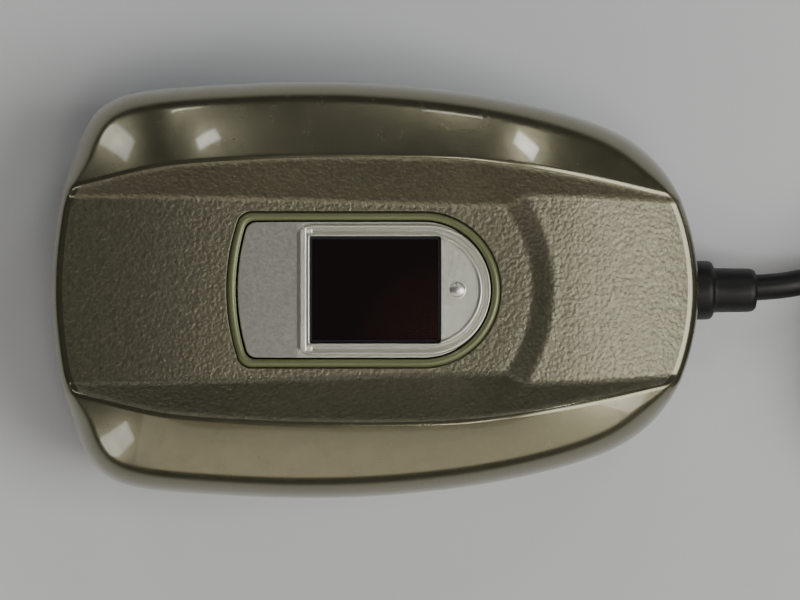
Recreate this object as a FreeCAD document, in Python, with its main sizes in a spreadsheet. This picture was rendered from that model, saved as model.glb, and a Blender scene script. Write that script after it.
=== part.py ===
import FreeCAD, Part
import math
import os
import re

V = FreeCAD.Vector
doc = FreeCAD.newDocument("fingerprint_scanner")

# ---------------------------------------------------------------- sizes (mm)
# +X points to the cord end, +Y across the body, +Z up from the table.
SIZES = [
    # shell
    ("split_z", 9.0), ("base_z", 1.2), ("wall", 2.0), ("roof", 2.2), ("channel_floor_thick", 3.0),
    ("crown", 0.0075), ("wall_slope", 1.06), ("lean", 0.2),
    ("roll_end", 1.3), ("roll_side", 3.8), ("roll_drop_end", 2.0), ("roll_drop_side", 5.6),
    ("lip_depth", 1.0), ("lip_rise", 1.6), ("lip_gap", 0.12),
    ("base_inset", 4.4), ("cutter_top", 46.0),
    ("stop_radius", 24.0), ("stop_centre_x", 1.5), ("stop_draft", 1.0), ("deck_z", 28.6),
    # D-shaped ring, plaque and rim
    ("ring_radius", 11.7), ("ring_hole_radius", 10.5), ("ring_centre_x", 7.2), ("ring_left_x", -22.4),
    ("ring_left_radius", 33.0), ("ring_bottom_z", 27.6), ("ring_top_z", 29.15), ("ring_gap", 0.15),
    ("ring_corner", 2.2), ("ring_edge", 0.35), ("ring_hole_left_x", -21.15),
    ("plaque_radius", 10.3), ("plaque_left_x", -20.9), ("plaque_bottom_z", 27.2), ("plaque_top_z", 28.9),
    ("plaque_corner", 1.6),
    ("rim_radius", 10.0), ("rim_groove_outer", 9.25), ("rim_groove_inner", 8.7), ("rim_inner_radius", 8.12),
    ("rim_left_x", -11.8), ("rim_left_inner_x", -9.9), ("rim_top_z", 29.5), ("rim_groove_z", 29.1),
    ("nub_x", 12.5), ("nub_sphere", 1.7), ("nub_sink", 1.2),
    ("window_length", 19.8), ("window_width", 16.0), ("window_z", 28.45),
    ("gasket_wall", 0.35), ("gasket_top_z", 28.3), ("gasket_bottom_z", 26.2), ("prism_clear", 0.02),
    ("prism_slab", 2.2), ("prism_tip_z", 17.4), ("prism_tip_half", 0.6),
    ("port_length", 20.2), ("port_width", 16.4),
    # cable exit, boot and cord
    ("cord_radius", 2.05), ("cord_z", 9.0), ("boot_seat_x", 49.2), ("boot_flange_radius", 4.65),
    ("boot_flange_end_x", 53.1), ("boot_end_x", 59.9), ("boot_body_radius", 3.5), ("boot_neck_radius", 3.2),
    ("boot_inner_x", 44.6), ("boot_inner_end_x", 46.8), ("boot_fillet", 0.8),
    # base details
    ("foot_radius", 4.2), ("foot_top_z", 2.0), ("foot_front_x", -37.0), ("foot_front_y", 16.5),
    ("foot_rear_x", 36.5), ("foot_rear_y", 12.5),
    ("post_front_x", -31.0), ("post_front_y", 23.0), ("post_rear_x", 30.0), ("post_rear_y", 18.8),
    ("post_radius", 3.6), ("boss_radius", 3.2), ("screw_head_radius", 2.35), ("screw_head_depth", 1.7),
    ("screw_radius", 1.2), ("screw_end_z", 17.0), ("pilot_radius", 1.25), ("pilot_end_z", 18.0),
    ("clear_radius", 1.45), ("counterbore_radius", 2.7), ("counterbore_z", 5.2), ("cross_width", 0.6),
    ("cross_length", 2.8), ("cross_depth", 0.9),
    ("label_length", 34.0), ("label_width", 17.0), ("label_z", 1.3), ("label_top_z", 1.5),
    ("inner_floor_z", 3.2),
    # optics
    ("chassis_back_x", -13.6), ("chassis_front_x", 30.6), ("chassis_half", 9.6), ("chassis_cheek", 1.7),
    ("chassis_z", 5.8), ("chassis_plate", 1.4), ("chassis_top_z", 25.3),
    ("ear_rear_x", 25.5), ("ear_front_x", -9.5), ("ear_y", 12.6), ("ear_radius", 2.9),
    ("small_post_radius", 2.5), ("small_pilot", 0.85), ("small_screw", 0.8), ("small_head", 1.75),
    ("small_head_depth", 1.2), ("small_screw_end_z", 3.5),
    ("diffuser_length", 12.0), ("diffuser_width", 14.0), ("diffuser_thick", 1.0),
    ("led_board_length", 13.0), ("led_board_width", 15.0), ("led_board_thick", 1.2),
    ("led_length", 3.2), ("led_width", 2.0), ("led_height", 1.1),
    ("mirror_length", 13.0), ("mirror_width", 15.0), ("mirror_thick", 1.1), ("mirror_x", 15.6), ("mirror_z", 10.4),
    ("lens_axis_z", 12.4), ("barrel_radius", 4.4), ("barrel_start_x", 20.6), ("barrel_end_x", 30.6),
    ("barrel_bore", 3.4), ("lens_thick", 1.6), ("holder_x", 23.0), ("holder_thick", 2.4),
    ("camera_board_x", 32.3), ("camera_board_thick", 1.2), ("camera_board_half", 9.6),
    ("camera_board_z", 5.9), ("camera_board_height", 15.5), ("sensor_side", 7.4), ("sensor_thick", 1.4),
    # boards
    ("board_x", -43.2), ("board_length", 28.4), ("board_half", 19.2), ("board_z", 6.0), ("board_thick", 1.6),
    ("board_hole_front_x", -40.2), ("board_hole_rear_x", -18.0), ("board_hole_y", 17.0),
    ("board_hole_radius", 1.1),
    ("ballast_x", -6.5), ("ballast_length", 29.0), ("ballast_half", 9.4),
    ("clamp_x", 37.0), ("clamp_length", 5.0), ("clamp_half", 8.4), ("clamp_top_z", 12.6), ("clamp_screw_y", 5.6),
    ("wire_radius", 0.45), ("camera_cable_radius", 1.1),
    # coil, tie and plug
    ("coil_x", 104.0), ("coil_y", -12.0), ("coil_radius", 23.5), ("coil_width", 16.4), ("coil_height", 11.2),
    ("coil_corner", 3.2), ("tie_length", 5.0), ("tie_wall", 0.9), ("tie_grip", 0.35),
    ("plug_x", 122.8), ("plug_back_y", -18.9), ("plug_length", 22.0), ("plug_width", 15.6), ("plug_height", 8.0),
    ("plug_corner", 1.6), ("plug_nub", 3.2), ("plug_nub_radius", 3.1),
    ("shell_width", 12.0), ("shell_height", 4.5), ("shell_length", 18.7), ("shell_wall", 0.32),
    ("tongue_width", 11.1), ("tongue_height", 1.85), ("tongue_length", 17.4),
    ("contact_width", 1.1), ("contact_length", 8.0), ("contact_height", 0.25),
]
# control points of the plan outline, front end to cord end, one half
OUTLINE = [(-50.131, 0.0), (-49.753, 6.617), (-48.603, 13.818), (-46.834, 21.449), (-44.253, 27.861),
           (-38.963, 30.689), (-31.521, 31.217), (-23.883, 31.599), (-16.824, 31.954), (-10.014, 32.066),
           (-3.047, 31.921), (4.002, 31.434), (10.976, 30.669), (17.883, 29.651), (24.721, 28.311),
           (31.611, 26.601), (38.363, 24.2), (43.91, 19.993), (47.457, 13.848), (49.487, 6.958), (50.219, 0.0)]
# stations along the body: x, half width at the wing's inner edge, height of that edge
CREST = [(-50.0, 14.9, 23.4), (-46.5, 15.5, 25.35), (-32.0, 18.5, 32.0), (-22.0, 19.3, 33.7),
         (3.7, 19.8, 34.9), (23.0, 18.3, 33.9), (44.3, 14.3, 25.85), (50.0, 13.5, 22.6)]
# finger channel in front of the stop: x, half width of its floor, floor height
DEEP = [(-56.0, 14.5, 20.2), (-50.0, 14.35, 22.88), (-46.5, 14.3, 24.22), (-40.0, 14.2, 26.23), (-32.0, 14.1, 27.87),
        (-25.0, 13.95, 28.53), (-18.0, 13.8, 28.6), (-8.0, 13.5, 28.6), (3.7, 13.1, 28.6), (14.0, 12.85, 28.6),
        (23.0, 12.7, 28.6), (32.0, 12.6, 28.6)]
# finger channel behind the stop
SHALLOW = [(15.0, 14.5, 30.35), (19.0, 14.35, 30.25), (23.0, 14.2, 30.0), (30.0, 14.1, 29.2), (37.0, 13.8, 27.5),
           (44.3, 13.4, 25.0), (50.0, 13.2, 22.4), (56.0, 13.0, 19.3)]

sheet = doc.addObject("Spreadsheet::Sheet", "Sizes")
names = {}
row = 1


def put(alias, value):
    global row
    sheet.set("A%d" % row, alias)
    sheet.set("B%d" % row, repr(float(value)))
    sheet.setAlias("B%d" % row, alias)
    names[alias] = float(value)
    row += 1


for alias, value in SIZES:
    put(alias, value)
for tag, table in (("outline", OUTLINE), ("crest", CREST), ("deep", DEEP), ("shallow", SHALLOW)):
    for k, entry in enumerate(table):
        for part_name, value in zip(("x", "y", "z"), entry):
            put("%s_%s_no%d" % (tag, part_name, k), value)
doc.recompute()


def v(alias):
    return float(sheet.get(alias))


def table(tag, count, width):
    return [tuple(v("%s_%s_no%d" % (tag, c, k)) for c in ("x", "y", "z")[:width]) for k in range(count)]


def expr(text):
    return re.sub(r"\b[a-z][a-z_0-9]*\b", lambda hit: "Sizes." + hit.group(0) if hit.group(0) in names else hit.group(0), text)


def bind(obj, prop, size):
    if isinstance(size, str):
        obj.setExpression(prop, expr(size))
    elif prop.startswith("Placement.Base"):
        obj.setExpression(prop, repr(float(size)))
    else:
        setattr(obj, prop, size)


def place(obj, x, y, z, axis=None, angle=0.0):
    if axis is not None:
        obj.Placement = FreeCAD.Placement(V(0, 0, 0), FreeCAD.Rotation(V(*axis), angle))
    bind(obj, "Placement.Base.x", x)
    bind(obj, "Placement.Base.y", y)
    bind(obj, "Placement.Base.z", z)


serial = [0]


def fresh(kind, stem):
    serial[0] += 1
    return doc.addObject(kind, "%s_%03d" % (stem, serial[0]))


def box(lx, ly, lz, x, y, z, axis=None, angle=0.0):
    b = fresh("Part::Box", "block")
    bind(b, "Length", lx)
    bind(b, "Width", ly)
    bind(b, "Height", lz)
    place(b, x, y, z, axis, angle)
    return b


AXES = {"Z": (None, 0.0), "X": ((0, 1, 0), 90.0), "Y": ((1, 0, 0), -90.0), "-Z": ((1, 0, 0), 180.0)}


def cyl(r, length, x, y, z, along="Z"):
    c = fresh("Part::Cylinder", "round")
    bind(c, "Radius", r)
    bind(c, "Height", length)
    place(c, x, y, z, *AXES[along])
    return c


def cone(r1, r2, length, x, y, z, along="Z"):
    c = fresh("Part::Cone", "taper")
    bind(c, "Radius1", r1)
    bind(c, "Radius2", r2)
    bind(c, "Height", length)
    place(c, x, y, z, *AXES[along])
    return c


def ball(r, x, y, z):
    c = fresh("Part::Sphere", "ball")
    bind(c, "Radius", r)
    place(c, x, y, z)
    return c


def fuse(*parts):
    f = fresh("Part::MultiFuse", "joined")
    f.Shapes = list(parts)
    return f


def cut(base, *tools):
    c = fresh("Part::Cut", "cutout")
    c.Base = base
    c.Tool = tools[0] if len(tools) == 1 else fuse(*tools)
    return c


def common(a, b):
    c = fresh("Part::Common", "shared")
    c.Base = a
    c.Tool = b
    return c


def group(*parts):
    g = fresh("Part::Compound", "set")
    g.Links = list(parts)
    return g


def fillet(base, pick, radius):
    """Round the edges of base that pick() accepts."""
    doc.recompute()
    f = fresh("Part::Fillet", "rounded")
    f.Base = base
    f.Edges = [(k + 1, radius, radius) for k, e in enumerate(base.Shape.Edges) if pick(e)]
    doc.recompute()
    if f.Shape.isNull() or not f.Shape.isValid() or "Invalid" in f.State:
        doc.removeObject(f.Name)
        print("fillet left off", base.Name)
        return base
    return f


def chamfer(base, pick, size):
    doc.recompute()
    f = fresh("Part::Chamfer", "bevelled")
    f.Base = base
    f.Edges = [(k + 1, size, size) for k, e in enumerate(base.Shape.Edges) if pick(e)]
    doc.recompute()
    if f.Shape.isNull() or not f.Shape.isValid() or "Invalid" in f.State:
        doc.removeObject(f.Name)
        print("chamfer left off", base.Name)
        return base
    return f


def at_z(z):
    return lambda e: abs(e.BoundBox.ZMin - z) < 1e-4 and abs(e.BoundBox.ZMax - z) < 1e-4


def upright(e):
    b = e.BoundBox
    return b.ZLength > 0.3 and b.XLength < 1e-4 and b.YLength < 1e-4


def flipped(obj):
    """The same piece mirrored across the coil's middle, so that it points along -Y."""
    m = fresh("Part::Mirroring", "mirrored")
    m.Source = obj
    m.Normal = V(0, 1, 0)
    m.setExpression("Base.y", "Sizes.coil_y")
    return m


def solid_feature(name, shape):
    f = doc.addObject("Part::Feature", name)
    where = shape.Placement
    f.Shape = shape
    f.Placement = where
    return f


NODES = {}


def node(name, obj):
    obj.Label = name
    NODES[name] = obj
    return obj


# ------------------------------------------------------- PartDesign helpers
def origin_plane(body, role):
    for f in body.Origin.OriginFeatures:
        if f.Role == role:
            return f
    raise ValueError(role)


def rectangle(sk, length, width):
    """Rectangle centred on the sketch origin, both sizes bound to the sheet."""
    lx, wy = size_of(length) / 2, size_of(width) / 2
    p = [V(-lx, -wy, 0), V(lx, -wy, 0), V(lx, wy, 0), V(-lx, wy, 0)]
    first = sk.GeometryCount
    for k in range(4):
        sk.addGeometry(Part.LineSegment(p[k], p[(k + 1) % 4]), False)
    import Sketcher
    for k in range(4):
        sk.addConstraint(Sketcher.Constraint("Coincident", first + k, 2, first + (k + 1) % 4, 1))
    sk.addConstraint(Sketcher.Constraint("Horizontal", first))
    sk.addConstraint(Sketcher.Constraint("Horizontal", first + 2))
    sk.addConstraint(Sketcher.Constraint("Vertical", first + 1))
    sk.addConstraint(Sketcher.Constraint("Vertical", first + 3))
    sk.addConstraint(Sketcher.Constraint("Symmetric", first, 1, first + 2, 1, -1, 1))
    a = sk.addConstraint(Sketcher.Constraint("DistanceX", first, 1, first, 2, 2 * lx))
    b = sk.addConstraint(Sketcher.Constraint("DistanceY", first + 1, 1, first + 1, 2, 2 * wy))
    sk.setExpression("Constraints[%d]" % a, expr(length))
    sk.setExpression("Constraints[%d]" % b, expr(width))


def size_of(text):
    """Value of a size expression made of sheet names, numbers, + - * / and brackets."""
    tokens = re.findall(r"[a-z][a-z_0-9]*|[0-9.]+|[-+*/()]", text)
    spot = [0]

    def atom():
        tok = tokens[spot[0]]
        spot[0] += 1
        if tok == "(":
            value = total()
            spot[0] += 1
            return value
        if tok == "-":
            return -atom()
        return names[tok] if tok in names else float(tok)

    def product():
        value = atom()
        while spot[0] < len(tokens) and tokens[spot[0]] in "*/":
            op = tokens[spot[0]]
            spot[0] += 1
            value = value * atom() if op == "*" else value / atom()
        return value

    def total():
        value = product()
        while spot[0] < len(tokens) and tokens[spot[0]] in "+-":
            op = tokens[spot[0]]
            spot[0] += 1
            value = value + product() if op == "+" else value - product()
        return value

    return total()


def plate(name, length, width, thick, x, y, z, holes=(), hole_radius=None, axis=None, angle=0.0):
    """PartDesign plate: padded rectangle with round through holes pocketed."""
    import Sketcher
    body = doc.addObject("PartDesign::Body", name + "_body")
    sk = body.newObject("Sketcher::SketchObject", name + "_outline")
    sk.AttachmentSupport = (origin_plane(body, "XY_Plane"), [""])
    sk.MapMode = "FlatFace"
    rectangle(sk, length, width)
    pad = body.newObject("PartDesign::Pad", name + "_pad")
    pad.Profile = sk
    pad.setExpression("Length", expr(thick))
    if holes:
        hk = body.newObject("Sketcher::SketchObject", name + "_holes")
        hk.AttachmentSupport = (origin_plane(body, "XY_Plane"), [""])
        hk.MapMode = "FlatFace"
        for hx, hy in holes:
            g = hk.addGeometry(Part.Circle(V(size_of(hx), size_of(hy), 0), V(0, 0, 1), size_of(hole_radius)), False)
            cx = hk.addConstraint(Sketcher.Constraint("DistanceX", -1, 1, g, 3, size_of(hx)))
            cy = hk.addConstraint(Sketcher.Constraint("DistanceY", -1, 1, g, 3, size_of(hy)))
            cr = hk.addConstraint(Sketcher.Constraint("Radius", g, size_of(hole_radius)))
            hk.setExpression("Constraints[%d]" % cx, expr(hx))
            hk.setExpression("Constraints[%d]" % cy, expr(hy))
            hk.setExpression("Constraints[%d]" % cr, expr(hole_radius))
        pocket = body.newObject("PartDesign::Pocket", name + "_pocket")
        pocket.Profile = hk
        pocket.Type = "ThroughAll"
        pocket.Midplane = True
        body.Tip = pocket
    else:
        body.Tip = pad
    doc.recompute()
    place(body, x, y, z, axis, angle)
    return body


# ------------------------------------------------------------ shell surfaces
def spline(points, x):
    """Natural cubic spline through (x, value) points."""
    n = len(points)
    xs = [p[0] for p in points]
    ys = [p[1] for p in points]
    if x <= xs[0]:
        x = max(x, xs[0] - 6)
    a = [0.0] * n
    b = [1.0] * n
    c = [0.0] * n
    d = [0.0] * n
    for i in range(1, n - 1):
        h0, h1 = xs[i] - xs[i - 1], xs[i + 1] - xs[i]
        a[i], b[i], c[i] = h0, 2 * (h0 + h1), h1
        d[i] = 6 * ((ys[i + 1] - ys[i]) / h1 - (ys[i] - ys[i - 1]) / h0)
    for i in range(1, n):
        w = a[i] / b[i - 1]
        b[i] -= w * c[i - 1]
        d[i] -= w * d[i - 1]
    k = [0.0] * n
    k[-1] = d[-1] / b[-1]
    for i in range(n - 2, -1, -1):
        k[i] = (d[i] - c[i] * k[i + 1]) / b[i]
    i = 0
    while i < n - 2 and x > xs[i + 1]:
        i += 1
    h = xs[i + 1] - xs[i]
    p, q = (xs[i + 1] - x) / h, (x - xs[i]) / h
    return p * ys[i] + q * ys[i + 1] + ((p ** 3 - p) * k[i] + (q ** 3 - q) * k[i + 1]) * h * h / 6


outline_half = table("outline", len(OUTLINE), 2)
crest = table("crest", len(CREST), 3)
deep = table("deep", len(DEEP), 3)
shallow = table("shallow", len(SHALLOW), 3)
crest_y = [(p[0], p[1]) for p in crest]
crest_z = [(p[0], p[2]) for p in crest]

poles = outline_half + [(x, -y) for x, y in outline_half[-2:0:-1]]
fine = []
for k in range(len(poles)):
    p0, p1, p2 = poles[k - 1], poles[k], poles[(k + 1) % len(poles)]
    fine.append(((p0[0] + 6 * p1[0] + p2[0]) / 8, (p0[1] + 6 * p1[1] + p2[1]) / 8))
    fine.append(((p1[0] + p2[0]) / 2, (p1[1] + p2[1]) / 2))
poles = fine


def outward(k):
    a, b = poles[k - 1], poles[(k + 1) % len(poles)]
    tx, ty = b[0] - a[0], b[1] - a[1]
    length = math.hypot(tx, ty)
    return (-ty / length, tx / length)


def wing_top(x, y):
    xx = min(max(x, -50.0), 50.0)
    a = spline(crest_y, xx)
    return spline(crest_z, xx) + v_crown * (a * a - y * y)


v_crown = v("crown")


def smooth(lo, hi, x):
    q = min(max((x - lo) / (hi - lo), 0.0), 1.0)
    return q * q * (3 - 2 * q)


def closed_surface(rows):
    """Periodic cubic surface through rows of control points, capped flat at both ends."""
    n, m = len(rows[0]), len(rows)
    net = [[rows[j][i] for j in range(m)] for i in range(n)]
    s = Part.BSplineSurface()
    vk = [float(q) for q in range(m - 2)]
    s.buildFromPolesMultsKnots(net, [1] * (n + 1), [4] + [1] * (m - 4) + [4], [float(q) for q in range(n + 1)], vk, True, False, 3, 3)
    side = s.toShape()
    caps = []
    for e in side.Edges:
        if e.isClosed() and e.BoundBox.ZLength < 1e-6:
            caps.append(Part.Face(Part.Wire([e])))
    shell = Part.makeShell([side] + caps)
    shell.sewShape()
    body = Part.makeSolid(Part.Shell(shell.Faces))
    body.fix(1e-6, 1e-6, 1e-6)
    if body.Volume < 0:
        body.reverse()
    return body


def dome(inset, bottom, drop):
    rows = [[] for _ in range(13)]
    flat = wing_top(0, 0) - drop
    for k in range(len(poles)):
        px, py = poles[k]
        nx, ny = outward(k)
        side = smooth(12.5, 22.0, abs(py))
        rh = v("roll_end") + (v("roll_side") - v("roll_end")) * side
        rz = v("roll_drop_end") + (v("roll_drop_side") - v("roll_drop_end")) * side
        if inset:
            rh = max(rh - 0.8, 0.9)

        def at(d):
            return (px - d * nx, py - d * ny)

        ex, ey = at(inset + v("lean") + rh)
        edge = wing_top(ex, ey) - drop
        start = edge - rz
        plan = [
            (inset, bottom), (inset, bottom + 0.3 * (start - bottom)), (inset + 0.4 * v("lean"), bottom + 0.7 * (start - bottom)),
            (inset + v("lean"), start), (inset + v("lean"), start + 0.62 * rz),
        ]
        for j, (d, z) in enumerate(plan):
            qx, qy = at(d)
            rows[j].append(V(qx, qy, z))
        qx, qy = at(inset + v("lean") + 0.36 * rh)
        rows[5].append(V(qx, qy, wing_top(qx, qy) - drop))
        rows[6].append(V(ex, ey, edge))
        for j, q in enumerate((0.86, 0.7, 0.52, 0.32, 0.12)):
            rows[7 + j].append(V(ex * q, ey * q, wing_top(ex * q, ey * q) - drop))
        rows[12].append(V(ex * 0.05, ey * 0.05, flat))
    return closed_surface(rows)


def channel(stations, grow, sink, top):
    wires = []
    for x, b, z in stations:
        lo = z - sink
        half = b + grow
        wide = half + v("wall_slope") * (top - lo)
        pts = [V(x, -wide, top), V(x, -half, lo), V(x, half, lo), V(x, wide, top)]
        wires.append(Part.makePolygon(pts + [pts[0]]))
    return Part.makeLoft(wires, True, False)


def stop_side(base_z, radius):
    """Everything in front of the arc-shaped finger stop."""
    rise = v("cutter_top") - base_z
    tool = Part.makeCone(radius, radius + v("stop_draft") * rise, rise, V(v("stop_centre_x"), 0, base_z))
    block = Part.makeBox(70, 120, rise, V(v("stop_centre_x") - 70, -60, base_z))
    return tool.fuse(block)


top_z = v("cutter_top")
deep_cut = channel(deep, 0, 0, top_z)
low = v("deck_z") - 10
front = stop_side(v("deck_z"), v("stop_radius"))
front_low = Part.makeBox(80, 120, 12, V(-79, -60, v("deck_z") - 11.99))
deep_cut = deep_cut.common(front.fuse(front_low))
shallow_cut = channel(shallow, 0, 0, top_z)
outer = dome(0.0, v("split_z"), 0.0)
skin = outer.cut(deep_cut).cut(shallow_cut)

sink = v("channel_floor_thick")
thick_deep = channel([p for p in deep if p[0] < 31], 1.6, sink, top_z)
thick_shallow = channel([p for p in shallow if p[0] > 16], 1.6, sink, top_z)
cavity = dome(v("wall"), v("split_z") - 1.0, v("roof")).cut(thick_deep).cut(thick_shallow)
print("outer", outer.isValid(), outer.Volume, "skin", skin.isValid(), skin.Volume, "cavity", cavity.isValid(), cavity.Volume)

# lower shell surfaces
def basin(inset, top, bottom, foot_inset, steps):
    rows = [[] for _ in range(len(steps))]
    for k in range(len(poles)):
        px, py = poles[k]
        nx, ny = outward(k)
        for j, (q, d) in enumerate(steps):
            rows[j].append(V(px - (inset + foot_inset * d) * nx, py - (inset + foot_inset * d) * ny, top + (bottom - top) * q))
    return closed_surface(rows)


STEPS = [(0.0, 0.0), (0.25, 0.03), (0.55, 0.12), (0.85, 0.3), (1.0, 0.62), (1.0, 1.0)]
base_outer = basin(0.0, v("split_z"), v("base_z"), v("base_inset"), STEPS)
base_inner = basin(v("wall"), v("split_z") + 0.0, v("inner_floor_z"), v("base_inset"), STEPS)
STRAIGHT = [(0.0, 0.0), (0.33, 0.0), (0.67, 0.0), (1.0, 0.0)]
lip_root = basin(v("wall") - 0.6, v("split_z"), v("split_z") - 2.0, 0.0, STRAIGHT)
lip_outer = basin(v("wall") + v("lip_gap"), v("split_z") + v("lip_rise"), v("split_z") - 1.0, 0.0, STRAIGHT)
lip_inner = basin(v("wall") + v("lip_gap") + v("lip_depth"), v("split_z") + v("lip_rise") + 1.0, v("split_z") - 3.0, 0.0, STRAIGHT)
print("base", base_outer.isValid(), base_outer.Volume, base_inner.isValid(), base_inner.Volume)

skin_f = solid_feature("upper_skin", skin)
cavity_f = solid_feature("upper_cavity", cavity)
base_outer_f = solid_feature("lower_skin", base_outer)
base_inner_f = solid_feature("lower_cavity", base_inner)
lip_f = solid_feature("lip_ring", lip_root.fuse(lip_outer).cut(lip_inner))

# ------------------------------------------------------------- D-shaped parts
def dee(radius, left_x, bottom, top, corner=None, left_radius="ring_left_radius", centre="ring_centre_x"):
    """Upright D: half round at the cord side, bowed edge with round corners at the front."""
    block = box("%s + 60" % centre, "2*%s" % radius, "%s - (%s)" % (top, bottom), -60.0, "-(%s)" % radius, bottom)
    disc = cyl(radius, "%s - (%s)" % (top, bottom), centre, 0.0, bottom)
    bow = cyl(left_radius, "%s - (%s)" % (top, bottom), "%s + %s" % (left_x, left_radius), 0.0, bottom)
    # the bowed edge is the front of a large disc; behind its middle the D runs on straight
    back = box(60.0, 120.0, "%s - (%s)" % (top, bottom), "%s + %s" % (left_x, left_radius), -60.0, bottom)
    shape = common(fuse(block, disc), fuse(bow, back))
    if corner:
        return fillet(shape, lambda e: upright(e) and e.BoundBox.XMin < -10, v(corner))
    return shape


def dee_square(radius, left_x, bottom, top, corner=None):
    block = box("ring_centre_x - (%s)" % left_x, "2*%s" % radius, "%s - (%s)" % (top, bottom), left_x, "-(%s)" % radius, bottom)
    disc = cyl(radius, "%s - (%s)" % (top, bottom), "ring_centre_x", 0.0, bottom)
    shape = fuse(block, disc)
    if corner:
        return fillet(shape, lambda e: upright(e) and e.BoundBox.XMin < -5, corner)
    return shape


# upper housing: hollow skin, bosses, D-shaped recess, optics port, cable exit
bosses = []
pilots = []
for sx, sy in (("post_front_x", "post_front_y"), ("post_front_x", "-post_front_y"), ("post_rear_x", "post_rear_y"), ("post_rear_x", "-post_rear_y")):
    bosses.append(cyl("boss_radius", "cutter_top - split_z", sx, sy, "split_z"))
    pilots.append(cyl("pilot_radius", "pilot_end_z - split_z + 1", sx, sy, "split_z - 1"))
hollow = cut(skin_f, cavity_f)
boss_set = common(fuse(*bosses), skin_f)
recess = dee("(ring_radius + ring_gap)", "(ring_left_x - ring_gap)", "ring_bottom_z", "(ring_top_z + 4)", "ring_corner")
plaque_seat = dee("ring_hole_radius", "ring_hole_left_x", "plaque_bottom_z", "(ring_top_z + 4)", "plaque_corner")
port = box("port_length", "port_width", 8.0, "-port_length/2", "-port_width/2", "plaque_bottom_z - 6")
exit_hole = cyl("boot_neck_radius", 12.0, "boot_seat_x - 8", 0.0, "cord_z", "X")
seat_hole = cyl("boot_flange_radius + 0.1", 8.0, "boot_seat_x", 0.0, "cord_z", "X")
inner_seat = cyl("boot_flange_radius + 0.1", "boot_inner_end_x - 40", 40.0, 0.0, "cord_z", "X")
upper = cut(fuse(hollow, boss_set), fuse(*pilots), recess, plaque_seat, port, exit_hole, seat_hole, inner_seat)
node("upper_housing", upper)

# lower housing
posts, drills, bores = [], [], []
for sx, sy in (("post_front_x", "post_front_y"), ("post_front_x", "-post_front_y"), ("post_rear_x", "post_rear_y"), ("post_rear_x", "-post_rear_y")):
    posts.append(cyl("post_radius", "split_z - base_z", sx, sy, "base_z"))
    drills.append(cyl("clear_radius", "split_z - base_z + 2", sx, sy, "base_z - 1"))
    bores.append(cyl("counterbore_radius", "counterbore_z - base_z + 1", sx, sy, "base_z - 1"))
for sx, sy in (("foot_front_x", "foot_front_y"), ("foot_front_x", "-foot_front_y"), ("foot_rear_x", "foot_rear_y"), ("foot_rear_x", "-foot_rear_y")):
    bores.append(cyl("foot_radius", "foot_top_z - base_z + 1", sx, sy, "base_z - 1"))
small_posts, small_drills = [], []
for sx in ("ear_front_x", "ear_rear_x"):
    for sy in ("ear_y", "-ear_y"):
        small_posts.append(cyl("small_post_radius", "chassis_z - base_z - 0.5", sx, sy, "base_z + 0.5"))
        small_drills.append(cyl("small_pilot", "chassis_z - inner_floor_z + 1", sx, sy, "inner_floor_z"))
for sx in ("board_hole_front_x", "board_hole_rear_x"):
    for sy in ("board_hole_y", "-board_hole_y"):
        small_posts.append(cyl("small_post_radius", "board_z - base_z - 0.5", sx, sy, "base_z + 0.5"))
        small_drills.append(cyl("small_pilot", "board_z - inner_floor_z + 1", sx, sy, "inner_floor_z"))
saddle = box("clamp_length", 14.4, "cord_z - base_z - 0.5", "clamp_x", -7.2, "base_z + 0.5")
for sy in ("clamp_screw_y", "-clamp_screw_y"):
    small_drills.append(cyl("small_pilot", "cord_z - inner_floor_z", "clamp_x + clamp_length/2", sy, "inner_floor_z + 0.5"))
groove = cyl("cord_radius", "clamp_length + 2", "clamp_x - 1", 0.0, "cord_z", "X")
label_recess = box("label_length + 0.4", "label_width + 0.4", "label_top_z - base_z + 1", "-label_length/2 - 0.2", "-label_width/2 - 0.2", "base_z - 1")
ballast_ribs = fuse(box(1.2, 18.8, 2.2, "ballast_x - ballast_length/2 + 6 - 3", -9.4, "base_z + 0.5"))
shell_low = cut(base_outer_f, base_inner_f)
stands = common(fuse(*(posts + small_posts + [saddle])), base_outer_f)
exit_low = cyl("boot_neck_radius", 12.0, "boot_seat_x - 8", 0.0, "cord_z", "X")
seat_low = cyl("boot_flange_radius + 0.1", 8.0, "boot_seat_x", 0.0, "cord_z", "X")
inner_low = cyl("boot_flange_radius + 0.1", "boot_inner_end_x - 43.5", 43.5, 0.0, "cord_z", "X")
doc.removeObject(ballast_ribs.Name)
lower = cut(fuse(shell_low, lip_f, stands), fuse(*(drills + bores + small_drills)), groove, label_recess, exit_low, seat_low, inner_low)
node("lower_housing", lower)

# trim ring
ring_body = cut(dee("ring_radius", "ring_left_x", "ring_bottom_z", "ring_top_z", "ring_corner"),
                dee("(ring_hole_radius + 0.02)", "ring_hole_left_x", "(ring_bottom_z - 1)", "(ring_top_z + 1)", "plaque_corner"))
node("trim_ring", fillet(ring_body, at_z(v("ring_top_z")), v("ring_edge")))

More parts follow.
